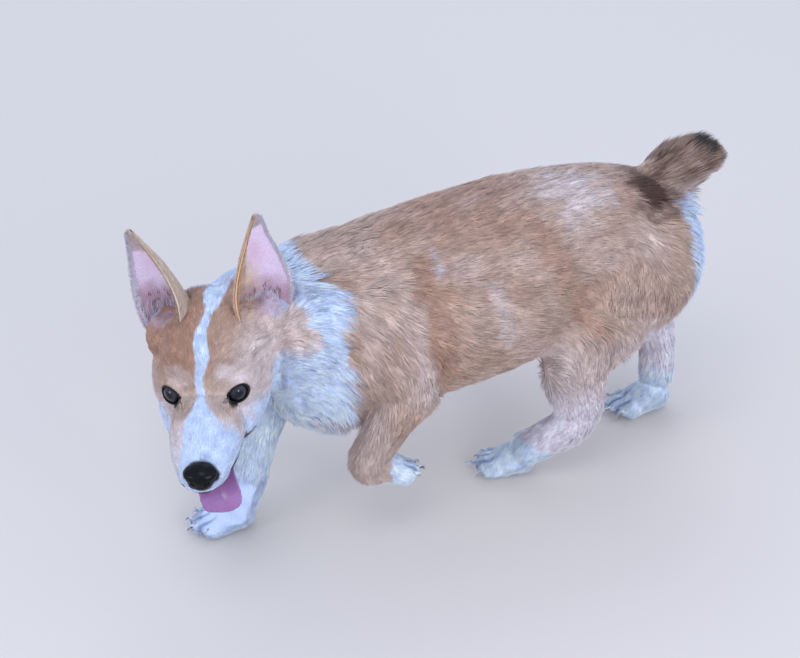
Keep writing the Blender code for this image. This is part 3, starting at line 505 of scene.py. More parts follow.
def markings(points, normals, place, trunk):
    """The coat's colour at points of the row frame as a display colour, with painted light and shade in places."""
    head, own = moved(points, place.inverted()), points - trunk
    turned = normals @ np.array(place)[:3, :3]
    hx, hy, hz = head.T
    x, y, z = own.T
    rough = 0.0035 * wave(points, 0.022, 1) + 0.0016 * wave(points, 0.007, 2)

    apart = np.abs(hy)
    nape = -0.085 + 0.86 * np.maximum(apart - 0.025, 0) + 0.72 * np.maximum(0.025 - hz, 0) * ramp(apart, 0.030, 0.050)
    on_head = ramp(hx + 0.5 * rough, nape - 0.002, nape + 0.004)
    on_head *= (np.linalg.norm(head - (-0.01, 0, -0.01), axis=1) < 0.115) & (apart < 0.085)
    colour = np.tile(TAN, (len(points), 1)).astype(float)
    off_head = 1 - on_head
    colour = mix(colour, RUST, 0.60 * ramp(z, 0.215, 0.250) * ramp(x, -0.10, -0.02) * (1 - ramp(x, 0.03, 0.06)) * off_head)
    colour = mix(colour, PALE, 0.22 * np.clip(wave(points * (0.5, 1, 0.7), 0.030, 3), 0, 1))
    colour = mix(colour, RUST, 0.40 * np.clip(wave(points, 0.055, 4), 0, 1))
    # Painted shade in a band behind the crease of the shoulder, fading back over the ribs, and painted light on the
    # shoulder in front of the crease
    behind = x - np.interp(z, (0.100, 0.145, 0.190, 0.226, 0.243), (-0.056, -0.0613, -0.0655, -0.0677, -0.0728)) + rough
    on_side = off_head * ramp(z, 0.115, 0.135) * (1 - ramp(z, 0.235, 0.250)) * ramp(np.abs(y), 0.025, 0.045)
    colour = mix(colour, RUST, 0.75 * on_side * ramp(behind, -0.002, 0.004) * (1 - ramp(behind, 0.010, 0.042)))
    shoulder = ramp(behind, -0.036, -0.012) * (1 - ramp(behind, -0.006, 0.000)) * (1 - 0.8 * ramp(z, 0.180, 0.215))
    colour = mix(colour, PALE, 0.45 * on_side * shoulder)
    flank = np.abs(x - np.interp(z, (0.130, 0.143, 0.179, 0.225), (0.090, 0.083, 0.066, 0.045)) + rough)
    colour = mix(colour, RUST, 0.60 * on_side * (1 - ramp(flank, 0.004, 0.020)))
    low_leg = (1 - ramp(z + rough, 0.070, 0.130)) * ramp(x, -0.02, 0.02)
    colour = mix(colour, LIGHT, 0.90 * low_leg)
    low_thigh = (1 - ramp(z + rough, 0.120, 0.155)) * ramp(x, 0.020, 0.045) * off_head
    colour = mix(colour, PALE, 0.55 * low_thigh * (1 - low_leg))
    fore_leg = (1 - ramp(z + rough, 0.100, 0.150)) * (1 - ramp(x, -0.115, -0.085)) * (y < 0) * off_head
    colour = mix(colour, PALE, 0.35 * fore_leg)
    forehead = on_head * (1 - ramp(hx + rough, -0.010, 0.006)) * ramp(hz, -0.004, 0.012)
    colour = mix(colour, RUST, 0.95 * forehead * (1 - ramp(hy, -0.004, 0.016)))
    colour = mix(colour, RUST, 0.45 * forehead * ramp(hy, 0.000, 0.010) * (1 - ramp(hy, 0.018, 0.030)))
    cheek_left = on_head * ramp(hy, 0.012, 0.036) * (1 - ramp(hz - 0.3 * hx, 0.016, 0.044))
    colour = mix(colour, PALE, 0.72 * cheek_left)
    behind_cheek = ramp(-y, 0.024, 0.032) * (1 - ramp(x, -0.150, -0.135)) * ramp(z, 0.160, 0.175) * off_head
    colour = mix(colour, PALE, 0.55 * behind_cheek)

    # White of the legs, belly, chest and collar
    edge = np.interp(z, (0.130, 0.180, 0.222, 0.236, 0.246), (-0.1175, -0.1225, -0.1190, -0.134, -0.139))
    collar = 1 - ramp(x + rough, edge - 0.004, edge + 0.004)
    rear = np.interp(z, (0.172, 0.181, 0.193, 0.215, 0.227, 0.232, 0.238),
                     (-0.180, -0.152, -0.144, -0.1525, -0.160, -0.170, -0.185))
    patch = (1 - ramp(x + rough, rear - 0.003, rear + 0.003)) * ramp(-y, 0.024, 0.032)
    collar *= 1 - patch * ramp(z + 1.5 * rough, 0.172, 0.196)
    collar *= 1 - (1 - ramp(z, 0.104, 0.116)) * ramp(-y, 0.024, 0.034)
    chest = (1 - ramp(z + rough, 0.118, 0.130)) * (1 - ramp(x, -0.105, -0.085)) * (1 - ramp(np.abs(y), 0.026, 0.036))
    chest *= ramp(z, 0.088, 0.096)
    belly = (1 - ramp(z + rough, 0.104, 0.112)) * (1 - ramp(np.abs(y), 0.030, 0.042)) * ramp(z, 0.085, 0.095)
    belly *= 1 - ramp(x, 0.06, 0.10)
    front_right = (1 - ramp(z + rough, 0.128, 0.140)) * (y > 0.004) * (x < -0.085)
    inside = np.linalg.norm(own - (-0.142, 0.024, 0.112), axis=1) + rough
    front_right *= ramp(inside, 0.012, 0.018)
    wrist = (y < 0) * (z < 0.11) * (x < -0.04)
    front_left = wrist * ramp(x + rough, -0.096, -0.091) * (1 - ramp(z + rough, 0.074, 0.080))
    rim = wrist * (1 - ramp(z + 0.3 * rough, 0.0560, 0.0610))
    front_left = np.maximum(front_left, rim)
    hind_left = (1 - ramp(z + 0.45 * (x - 0.05) + rough, 0.026, 0.034)) * (x > -0.03) * (x < 0.115)
    hind_right = (1 - ramp(z + rough, 0.030, 0.040)) * (x > 0.115)
    fringe = ramp(x - 0.25 * np.abs(y) + rough, 0.158, 0.168) * (1 - ramp(z + rough, 0.208, 0.222)) * ramp(z, 0.10, 0.125)
    white = np.maximum.reduce([collar, chest, belly, front_right, front_left, hind_left, hind_right, fringe])
    white *= 1 - on_head

    # White of the face: the blaze, the muzzle and the lower cheeks
    middle = np.interp(hx, (-0.106, -0.046, -0.031, -0.014, -0.0015, 0.0065, 0.017),
                       (0.0100, 0.0050, 0.0010, 0.0013, -0.0004, -0.0015, 0.0005))
    half = np.interp(hx, (-0.106, -0.080, -0.046, -0.031, -0.014, -0.0015, 0.0065, 0.017, 0.025),
                     (0.0130, 0.0090, 0.0036, 0.0040, 0.0054, 0.0032, 0.0026, 0.0056, 0.012))
    blaze = (1 - ramp(np.abs(hy - middle) + 0.35 * rough, half - 0.001, half + 0.0014)) * ramp(hz, -0.020, -0.006)
    start = np.interp(hy, (-0.020, -0.0150, -0.0118, -0.0089, -0.0052, 0.006, 0.016, 0.020, 0.028),
                      (0.062, 0.056, 0.042, 0.029, 0.017, 0.017, 0.026, 0.028, 0.024))
    muzzle = ramp(hx + 0.7 * rough, start - 0.004, start + 0.005)
    lip = np.interp(hx, (-0.070, -0.045, -0.020, 0.010, 0.030), (-0.042, -0.036, -0.025, -0.022, -0.024))
    jaw = (1 - ramp(hz + rough, lip - 0.008, lip + 0.012)) * ramp(hx, -0.070, -0.055)
    white = np.maximum(white, on_head * np.maximum.reduce([blaze, muzzle, jaw]))
    whiter = np.array(WHITE) * (1 - 0.05 * np.clip(wave(points, 0.012, 5), 0, 1))[:, None]
    # Painted light: the low white of the chest, belly and legs is made brighter to make up for the shade under the
    # body, but not on the forepaw that stands on the floor
    painted_light_low = (1 - ramp(z, 0.10, 0.20)) * off_head * (1 - (x < -0.10) * (1 - ramp(z, 0.03, 0.06)))
    whiter *= 1 + 0.08 * painted_light_low[:, None]
    colour = mix(colour, whiter, white)

    # Painted shade in the lines between the toes
    for at, heading, pitch, length, half in PAWS.values():
        paw = moved(points, paw_frame(at, heading, pitch, trunk).inverted())
        near = (paw[:, 0] < 1.2 * length) * (np.abs(paw[:, 1]) < 1.2 * half) * (np.abs(paw[:, 2]) < 0.020)
        gap = half * np.abs(paw[:, 1][:, None] / half - TOE_GAPS).min(1)
        line = near * (1 - ramp(gap, 0.0003, 0.0020)) * ramp(paw[:, 0], 0.50 * length, 0.70 * length)
        colour *= 1 - 0.32 * line[:, None] * (1.10, 1.0, 0.85)

    # Pale streaks of the side and croup, painted shade at the root of the tail, and the tail
    side_streak = np.linalg.norm((own - (-0.046, -0.048, 0.235)) * (1.6, 0.4, 0.45), axis=1) + 0.4 * rough
    colour = mix(colour, WHITE, 0.60 * (1 - ramp(side_streak, 0.001, 0.008)) * (y < 0))
    band = np.abs(x - 0.000 + 0.25 * (z - 0.18)) + 0.5 * rough
    colour = mix(colour, PALE, 0.5 * (1 - ramp(band, 0.003, 0.010)) * (y < -0.03) * ramp(z, 0.15, 0.165) * (z < 0.215))
    croup = np.linalg.norm((own - (0.086, -0.020, 0.25)) * (0.62, 0.6, 1), axis=1) + 2 * rough
    colour = mix(colour, PALE, 0.80 * (1 - ramp(croup, 0.008, 0.026)) * ramp(z, 0.22, 0.235))
    # Painted shade where the tail rises from the croup
    root = np.linalg.norm((own - (0.156, -0.022, 0.231)) * (1.0, 0.75, 1.0), axis=1) + 1.5 * rough
    colour = mix(colour, DARK, 1.0 * (1 - ramp(root, 0.009, 0.031)))
    on_tail = ramp(x, 0.172, 0.182) * ramp(z - 0.2 * (x - 0.18), 0.214, 0.222)
    colour = mix(colour, DARK, 0.48 * on_tail * (1 + 0.6 * wave(points, 0.010, 6)))
    tip = np.linalg.norm(own - (0.214, -0.002, 0.252), axis=1) + 1.5 * rough
    colour = mix(colour, BLACK, 0.75 * on_tail * (1 - ramp(tip, 0.003, 0.012)))
    colour = mix(colour, PALE, 0.5 * on_tail * (1 - ramp(z - 0.2 * (x - 0.19), 0.224, 0.236)))

    # Around the eyes, nose and mouth
    cheek = (1 - ramp(hz + rough, -0.026, -0.002)) * ramp(apart, 0.020, 0.034)
    colour = mix(colour, PALE, 0.75 * on_head * cheek * (1 - white))
    side_of_muzzle = ramp(hx + rough, 0.010, 0.036) * (1 - white)
    colour = mix(colour, PALE, 0.95 * on_head * side_of_muzzle)
    colour = mix(colour, LIGHT, 0.60 * on_head * ramp(hx + rough, 0.026, 0.048) * (1 - white))
    for side in (1, -1):
        # The inside of the ear's base painted on the head in front of it: its colour with painted shade
        bowl = np.linalg.norm(head - EAR_BOWLS[side], axis=1) + 0.6 * rough
        colour = mix(colour, BOWL, 0.80 * (1 - ramp(bowl, 0.009, 0.016)) * ramp(hz, 0.004, 0.012))
        eye = moved(head, eye_frame(side).inverted())
        flat = almond_reach(eye, side)
        near = (eye[:, 2] > 0.0) * (np.linalg.norm(eye, axis=1) < 0.03)
        brow = np.linalg.norm((head - (-0.006, 0.0215 * side, 0.0125)) * (1, 0.6, 1), axis=1) + rough
        colour = mix(colour, PALE, (0.85 if side > 0 else 0.55) * on_head * (1 - ramp(brow, 0.003, 0.012)))
        under = np.linalg.norm((head - (0.006, 0.027 * side, -0.016)) * (0.8, 1, 1), axis=1) + rough
        colour = mix(colour, PALE, 0.5 * on_head * (1 - ramp(under, 0.004, 0.012)))
        colour = mix(colour, DARK, 0.5 * near * (1 - ramp(flat, 1.10, 1.28)))
        colour = mix(colour, BLACK, near * (1 - ramp(flat, 1.04, 1.13)))
    nose = np.linalg.norm((head - NOSE_AT) * (1, 0.9, 1.1), axis=1) + 0.5 * rough
    colour = mix(colour, BLACK, 0.9 * on_head * (1 - ramp(nose, 0.0098, 0.0112)) * (hz > -0.030))
    inner = ramp(-turned[:, 2], 0.05, 0.35) * (hz > -0.052) * ramp(hx, -0.030, -0.010) * (np.abs(hy) < 0.034)
    inner = inner * (hz < -0.024)
    bowl = ramp(turned[:, 2], 0.2, 0.5) * (hz < -0.034) * ramp(hx, -0.030, -0.010) * (np.abs(hy) < 0.030)
    colour = mix(colour, BLACK, on_head * np.maximum(inner, bowl))
    colour = mix(colour, MOUTH, on_head * np.maximum(inner, bowl) * (1 - ramp(np.abs(hy), 0.012, 0.018)))
    return np.clip(colour, 0.01, 1)


def colour_attribute(mesh, colours, name="coat"):
    layer = mesh.color_attributes.new(name, "FLOAT_COLOR", "POINT")
    rgba = np.ones((len(colours), 4), np.float32)
    rgba[:, :3] = linear(colours)
    layer.data.foreach_set("color", rgba.ravel())


# Tufts: where the coat changes, its length, width and how many stand on a square metre
TUFTS = {
    "head": (0.0062, 0.00048, 1.55e6),
    "neck": (0.0160, 0.00060, 1.05e6),
    "trunk": (0.0140, 0.00058, 8.3e5),
    "tail": (0.0185, 0.00060, 1.3e6),
    "foreleg_left": (0.0095, 0.00054, 9.0e5),
    "foreleg_right": (0.0090, 0.00054, 9.0e5),
    "hindleg_left": (0.0105, 0.00056, 8.6e5),
    "hindleg_right": (0.0105, 0.00056, 8.6e5),
}
PIECES = {
    "head": 3, "neck": 2, "trunk": 5, "tail": 1, "foreleg_left": 1, "foreleg_right": 1,
    "hindleg_left": 1, "hindleg_right": 1,
}
LOCK_SIZE = 18          # tufts in a lock, on average
TUFT_UV = 0.003


def unwrap(points, normals, region):
    """Places on a flat map of the skin: each region seen from the six ways its surface faces."""
    uv = np.zeros((len(points), 2))
    facing = np.abs(normals).argmax(1)
    back = np.take_along_axis(normals, facing[:, None], 1)[:, 0] < 0
    for r in range(len(LABELS)):
        here = region == r
        if not here.any():
            continue
        low, high = points[here].min(0), points[here].max(0)
        cell = 0.25 if r == 0 else 0.1
        scale = cell * 0.94 / (high - low).max()
        for way in range(6):
            pick = here & (facing == way // 2) & (back == bool(way % 2))
            axes = [k for k in range(3) if k != way // 2]
            if r == 0:
                corner = np.array((way % 4, 2 + way // 4)) * cell
            else:
                number = (r - 1) * 6 + way
                corner = np.array((number % 10, number // 10)) * cell
            uv[pick] = corner + cell * 0.03 + (points[pick][:, axes] - low[axes]) * scale
    return uv


def tuft_mesh(name, roots, normals, ways, lengths, widths, lifts, bends, colours, tips, uv, slopes=None):
    """Tapered three-sided blades, each from a root along its way, with a colour at root and tip.

    They are shaded by the given slopes, or else by the slope of the skin, and rounder on the underside.
    """
    side = np.cross(normals, ways)
    waist = 0.42
    rise = np.sin(lifts) * lengths
    sway = bends * lengths
    belly = roots + ways * (lengths * waist)[:, None] + normals * (rise * 0.5)[:, None]
    belly += side * (sway * waist * waist)[:, None]
    half = (widths / 2)[:, None]
    end = roots + ways * lengths[:, None] + normals * (rise * 0.85)[:, None] + side * sway[:, None]
    start = roots - normals * 0.0004 - ways * (0.04 * lengths)[:, None]
    points = np.stack([start, belly - side * half, belly + side * half, belly + normals * half * 0.9, end], 1)
    points = points.reshape(-1, 3)
    points[:, 2] = np.maximum(points[:, 2], FLOOR_GAP)
    pattern = [(0, 2, 1), (0, 3, 2), (0, 1, 3), (4, 1, 2), (4, 2, 3), (4, 3, 1)]
    triangles = (np.arange(len(roots))[:, None, None] * 5 + np.array(pattern)[None]).reshape(-1, 3)
    mesh = mesh_from(name, points, triangles)
    smooth_shade(mesh)
    slopes = normals if slopes is None else slopes
    slope = mesh.attributes.new("custom_normal", "FLOAT_VECTOR", "POINT")
    spread = 1.6 * ramp(-slopes[:, 2], 0.2, 0.6)[:, None] * side
    fan = np.stack([slopes, slopes - spread, slopes + spread, slopes, slopes], 1).reshape(-1, 3)
    fan /= np.linalg.norm(fan, axis=1)[:, None]
    slope.data.foreach_set("vector", fan.astype(np.float32).ravel())
    half_way = (colours + tips) / 2
    colour_attribute(mesh, np.stack([colours, half_way, half_way, half_way, tips], 1).reshape(-1, 3))
    spots = np.array([(0, 0), (-0.5, 0.45), (0.5, 0.45), (0, 0.5), (0, 1)]) * TUFT_UV
    places = (uv[:, None] + spots[None]).reshape(-1, 2)
    layer = mesh.uv_layers.new(name="OFBake")
    layer.data.foreach_set("uv", places[triangles.ravel()].astype(np.float32).ravel())
    return mesh


def locks(root, rng):
    """The number of the lock that each tuft belongs to, and the tuft at each lock's middle."""
    heads = rng.choice(len(root), len(root) // LOCK_SIZE, replace=False)
    tree = KDTree(len(heads))
    for i, k in enumerate(heads):
        tree.insert(root[k], i)
    tree.balance()
    return np.array([tree.find(p)[1] for p in root]), heads


def grow_coat(skin, place, trunk, lie, region, material):
    """The coat in pieces, its tufts rooted all over the skin and drawn together in locks."""
    points, normals = coordinates(skin.data), vertex_normals(skin.data)
    faces = triangles_of(skin.data)
    corner = points[faces]
    area = np.linalg.norm(np.cross(corner[:, 1] - corner[:, 0], corner[:, 2] - corner[:, 0]), axis=1) / 2
    where = region[faces[:, 0]]
    sizes = np.array([TUFTS[label] for label in LABELS])
    crowd = sizes[where, 2] * (1 + 0.6 * fineness(corner.mean(1), place, trunk) * (where > 0))
    rng = np.random.default_rng(7)
    count = np.floor(area * crowd + rng.random(len(area))).astype(int)
    pick = np.repeat(np.arange(len(faces)), count)
    u, v = rng.random((2, len(pick)))
    flip = u + v > 1
    u[flip], v[flip] = 1 - u[flip], 1 - v[flip]
    share = np.stack([1 - u - v, u, v], 1)[:, :, None]
    root = (points[faces[pick]] * share).sum(1)
    normal = (normals[faces[pick]] * share).sum(1)
    normal /= np.linalg.norm(normal, axis=1)[:, None]
    way = (lie[faces[pick]] * share).sum(1)
    part = where[pick]
    keep = growing(root, normal, place)
    root, normal, way, part = root[keep], normal[keep], way[keep], part[keep]
    calm = np.where(part == 0, 0.4, 1.0)
    turn = calm * (0.16 * wave(root, 0.040, 11) + 0.14 * wave(root, 0.011, 12) + rng.normal(0, 0.09, len(root)))
    side = np.cross(normal, way)
    way = way * np.cos(turn)[:, None] + side * np.sin(turn)[:, None]
    way -= normal * (way * normal).sum(1)[:, None]
    way /= np.maximum(np.linalg.norm(way, axis=1), 1e-9)[:, None]
    length, width = tuft_sizes(root, part, sizes, place, trunk)
    length *= rng.uniform(0.75, 1.2, len(root))
    width *= rng.uniform(0.75, 1.3, len(root))
    lock, heads = locks(root, rng)
    goal = (root[heads] + way[heads] * length[heads][:, None])[lock]
    pull = np.array([0.18, 0.50, 0.32, 0.45, 0.30, 0.30, 0.32, 0.32])[part][:, None]
    way = (root + way * length[:, None]) * (1 - pull) + goal * pull - root
    way -= normal * (way * normal).sum(1)[:, None]
    way /= np.maximum(np.linalg.norm(way, axis=1), 1e-9)[:, None]
    lift = 8 + 2.0 * wave(root, 0.012, 13) + rng.normal(0, 1.5, len(root)) + rng.normal(0, 1.8, len(heads))[lock]
    lift += np.array([0, 1, 0, 16, 0, 0, 0, 0])[part]
    low_chest = (part == 1) * (1 - ramp(root[:, 2], 0.125, 0.150)) * (1 - ramp(root[:, 0] - trunk[0], -0.14, -0.10))
    lift += 5 * low_chest
    length *= 1 + 0.10 * low_chest
    lift = np.radians(np.clip(lift, 4, 30))
    bend = rng.normal(0, 0.07, len(root))
    colour = markings(root + way * (0.8 * length)[:, None], normal, place, trunk)
    tone = 1 + 0.045 * wave(root, 0.010, 14) + rng.normal(0, 0.050, len(root))
    tone += rng.normal(0, 1, len(heads))[lock] * np.where(part == 0, 0.030, np.where(part == 1, 0.062, 0.046))
    pale = (rng.random(len(root)) < 0.14)[:, None]
    tips = np.clip(colour * tone[:, None] * np.where(pale, 1.10, 1.02), 0.01, 0.97)
    base = np.clip(colour * (tone * 0.97)[:, None], 0.01, 0.97)
    uv = unwrap(root, normal, part)
    total = 0
    for r, label in enumerate(LABELS):
        mine = np.nonzero(part == r)[0]
        order = mine[np.argsort(root[mine, 0], kind="stable")]
        for n, some in enumerate(np.array_split(order, PIECES[label])):
            name = f"coat_{label}_{n + 1}"
            mesh = tuft_mesh(name, root[some], normal[some], way[some], length[some], width[some], lift[some],
                             bend[some], base[some], tips[some], uv[some])
            print(name, len(some), "tufts", len(mesh.polygons), "triangles")
            total += len(mesh.polygons)
            finish_piece(link(name, mesh), material, "tan_coat")
    print("coat", total, "triangles")


def growing(root, normal, place):
    """Where hair grows: not on the lips' inside, lid edges, pads or the nose's seat."""
    head = moved(root, place.inverted())
    turned = normal @ np.array(place)[:3, :3]
    hx, hy, hz = head.T
    inner = (turned[:, 2] < -0.35) & (hz > -0.052) & (hz < -0.024) & (hx > -0.028) & (np.abs(hy) < 0.034)
    bowl = (turned[:, 2] > 0.3) & (hz < -0.034) & (hx > -0.030) & (np.abs(hy) < 0.030)
    nose = np.linalg.norm((head - NOSE_AT) * (1, 0.85, 1.1), axis=1) < 0.0112
    lids = np.zeros(len(root), bool)
    for side in (1, -1):
        eye = moved(head, eye_frame(side).inverted())
        flat = almond_reach(eye, side)
        lids |= (eye[:, 2] > 0) & (np.linalg.norm(eye, axis=1) < 0.02) & (flat < 1.10)
    soles = (root[:, 2] < 0.0015) | ((normal[:, 2] < -0.7) & (root[:, 2] < 0.02))
    return ~(inner | bowl | nose | lids | soles)


def tuft_sizes(root, part, sizes, place, trunk):
    """Length and width of each tuft."""
    length, width = sizes[part, 0].copy(), sizes[part, 1].copy()
    head, own = moved(root, place.inverted()), root - trunk
    back = ramp(-head[:, 0], -0.01, 0.085)
    on_head = part == 0
    length[on_head] = (0.0038 + 0.0045 * back ** 1.5)[on_head]
    width[on_head] = (0.00040 + 0.00025 * back)[on_head]
    for side in (1, -1):
        eye = np.linalg.norm(moved(head, eye_frame(side).inverted()), axis=1)
        length *= 1 - 0.45 * (1 - ramp(eye, 0.012, 0.020)) * on_head
        length *= 1 - 0.55 * (1 - ramp(np.linalg.norm(head - EAR_BOWLS[side], axis=1), 0.010, 0.022))
    paws = 1 - ramp(own[:, 2], 0.018, 0.050)
    raised = 1 - ramp(np.linalg.norm(own - (-0.082, -0.048, 0.062), axis=1), 0.020, 0.040)
    small = np.maximum(paws, raised)
    length *= 1 - 0.50 * small
    width *= 1 - 0.30 * small
    near_head = 1 - ramp(np.linalg.norm(head - (-0.01, 0, -0.01), axis=1), 0.080, 0.115)
    length *= 1 - 0.5 * near_head * (part == 1)
    fringe = ramp(own[:, 0], 0.150, 0.172) * ramp(own[:, 2], 0.115, 0.135) * (1 - ramp(own[:, 2], 0.20, 0.22))
    chest = (1 - ramp(own[:, 0], -0.13, -0.10)) * (part == 1)
    length *= 1 + 0.35 * fringe + 0.25 * chest
    length *= 1 - 0.60 * ramp(own[:, 0], 0.196, 0.226) * (part == 3)
    return length, width


def new_material(name):
    material = bpy.data.materials.new(name)
    material.use_nodes = True
    return material, material.node_tree.nodes, material.node_tree.links


def coat_material(name, gain, roughness, bump_scale, bump):
    """Hair or skin in the painted colours, mottled finely."""
    material, nodes, links = new_material(name)
    shader = nodes["Principled BSDF"]
    paint = nodes.new("ShaderNodeVertexColor")
    paint.layer_name = "coat"
    noise = nodes.new("ShaderNodeTexNoise")
    noise.inputs["Scale"].default_value = bump_scale
    noise.inputs["Detail"].default_value = 4.0
    where = nodes.new("ShaderNodeTexCoord")
    links.new(where.outputs["Object"], noise.inputs["Vector"])
    tone = nodes.new("ShaderNodeMapRange")
    tone.inputs["From Min"].default_value = 0.3
    tone.inputs["From Max"].default_value = 0.7
    tone.inputs["To Min"].default_value = 0.88 * gain
    tone.inputs["To Max"].default_value = 1.08 * gain
    links.new(noise.outputs["Fac"], tone.inputs["Value"])
    scaled = nodes.new("ShaderNodeVectorMath")
    scaled.operation = "SCALE"
    links.new(paint.outputs["Color"], scaled.inputs[0])
    links.new(tone.outputs["Result"], scaled.inputs["Scale"])
    links.new(scaled.outputs["Vector"], shader.inputs["Base Color"])
    shader.inputs["Roughness"].default_value = roughness
    shader.inputs["Specular IOR Level"].default_value = 0.30
    shader.inputs["Sheen Weight"].default_value = 0.10
    shader.inputs["Sheen Roughness"].default_value = 0.5
    if bump:
        relief = nodes.new("ShaderNodeBump")
        relief.inputs["Strength"].default_value = bump
        relief.inputs["Distance"].default_value = 0.0006
        links.new(noise.outputs["Fac"], relief.inputs["Height"])
        links.new(relief.outputs["Normal"], shader.inputs["Normal"])
    return material


def wet_material(name, colour, roughness, scale, bump, coat, gloss=0.5):
    """Bare wet skin such as nose leather or a tongue."""
    material, nodes, links = new_material(name)
    shader = nodes["Principled BSDF"]
    cells = nodes.new("ShaderNodeTexVoronoi")
    cells.inputs["Scale"].default_value = scale
    where = nodes.new("ShaderNodeTexCoord")
    links.new(where.outputs["Object"], cells.inputs["Vector"])
    tint = nodes.new("ShaderNodeMix")
    tint.data_type = "RGBA"
    tint.inputs["A"].default_value = (*linear(colour), 1)
    tint.inputs["B"].default_value = (*(linear(colour) * 0.6), 1)
    links.new(cells.outputs["Distance"], tint.inputs["Factor"])
    links.new(tint.outputs["Result"], shader.inputs["Base Color"])
    relief = nodes.new("ShaderNodeBump")
    relief.invert = True
    relief.inputs["Strength"].default_value = bump
    relief.inputs["Distance"].default_value = 0.0004
    links.new(cells.outputs["Distance"], relief.inputs["Height"])
    links.new(relief.outputs["Normal"], shader.inputs["Normal"])
    shader.inputs["Roughness"].default_value = roughness
    shader.inputs["Specular IOR Level"].default_value = gloss
    shader.inputs["Coat Weight"].default_value = coat
    shader.inputs["Coat Roughness"].default_value = 0.15
    return material


def finish_piece(obj, material, slot, *replaced):
    obj.data.materials.clear()
    obj.data.materials.append(material)
    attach(obj, "root")
    if replaced:
        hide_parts(*replaced)
    return obj


def ear_points(side, thick, rows, columns):
    """Rings of an ear: an inner and an outer arc at each height, in the head's frame."""
    base, tip = (np.array(ends[side]) * (1, side, 1) for ends in (EAR_BASES, EAR_TIPS))
    height = np.linalg.norm(tip - base)
    axis = (tip - base) / height
    shares, wides, halves = np.array(EAR_PROFILE).T
    turn = np.linspace(-1, 1, columns)
    rings = []
    for share in np.linspace(-0.16, 1.0, rows):
        out = math.radians(np.interp(share, EAR_TWIST, EAR_FACING[side]))
        front = np.array((math.cos(out), side * math.sin(out), 0.0))
        front -= axis * (front @ axis)
        front /= np.linalg.norm(front)
        across = np.cross(axis, front)
        angle = math.radians(np.interp(share, shares, halves))
        wide = np.interp(share, shares, wides)
        radius = EAR_HALF_WIDTHS[side] * wide / math.sin(angle)
        depth = thick * (1 - 0.45 * turn ** 2) * (1 - 0.55 * max(share, 0)) * min(1.0, 0.25 + wide)
        bow = 0.006 * math.sin(math.pi * max(share, 0))
        centre = base + axis * height * share + front * (radius * math.cos(angle) - bow)
        centre += across * side * EAR_BOWS[side] * math.sin(math.pi * max(share, 0))
        spread = np.sin(angle * turn)[:, None] * across - np.cos(angle * turn)[:, None] * front
        inner = centre + spread * (radius + 0.0004)
        outer = centre + spread * (radius + 0.0004 + depth)[:, None]
        rings.append(np.vstack([inner, outer[::-1]]))
    return rings, axis, front, across


def make_ear(name, side, place, skin_look, coat_look):
    """The ear's skin, pink inside, with short hair outside and along its rim."""
    rows, columns = 40, 25
    rings, axis, front, across = ear_points(side, EAR_THICK, rows, columns)
    tips = (rings[0].mean(0), rings[-1].mean(0) + axis * 0.0010)
    points, faces = skin_rings(rings, tips)
    mesh = mesh_from(name, moved(points, place), faces)
    facing_out(mesh)
    smooth_shade(mesh)
    turn = np.linspace(-1, 1, columns)
    medial = np.tile(-side * np.concatenate([turn, turn[::-1]]), rows)
    inside = np.tile(np.concatenate([np.ones(columns), np.zeros(columns)]), rows)
    height = np.repeat(np.linspace(-0.16, 1, rows), 2 * columns)
    medial, inside, height = (np.append(a, (1, 1)) for a in (medial, inside, height))
    rough = wave(points, 0.012, 21)
    colour = mix(np.tile(EAR_TAN, (len(points), 1)), RUST, 0.35 * np.clip(wave(points, 0.02, 22), 0, 1))
    # Painted glow of light shining through the left ear's thin edge toward the middle of the head; the right ear keeps
    # its tan
    colour = mix(colour, EAR_GLOW_ORANGE if side > 0 else EAR_TAN, 0.8 * ramp(medial, 0.1, 0.6))
    band = np.interp(height, (0.0, 0.35, 0.60, 0.75, 0.90), EAR_BAND[side])
    pink = inside * (1 - ramp(medial + 0.08 * rough, band - 0.25, band + 0.25))
    colour = mix(colour, PINK, pink)
    deep = np.exp(-((medial + 0.15) / 0.35) ** 2 - ((height - 0.56) / 0.16) ** 2)
    colour = mix(colour, (0.860, 0.700, 0.780), 0.7 * pink * deep)
    # Painted shade deep in the base of the ear's inside
    colour = mix(colour, EAR_SHADE_MAUVE, 0.70 * inside * (1 - ramp(height + 0.05 * rough, 0.12, 0.34)))
    colour_attribute(mesh, colour)
    finish_piece(link(name + "_skin", mesh), skin_look, "ear", name)
    ear_hair(name, rings, side, place, axis, front, coat_look)


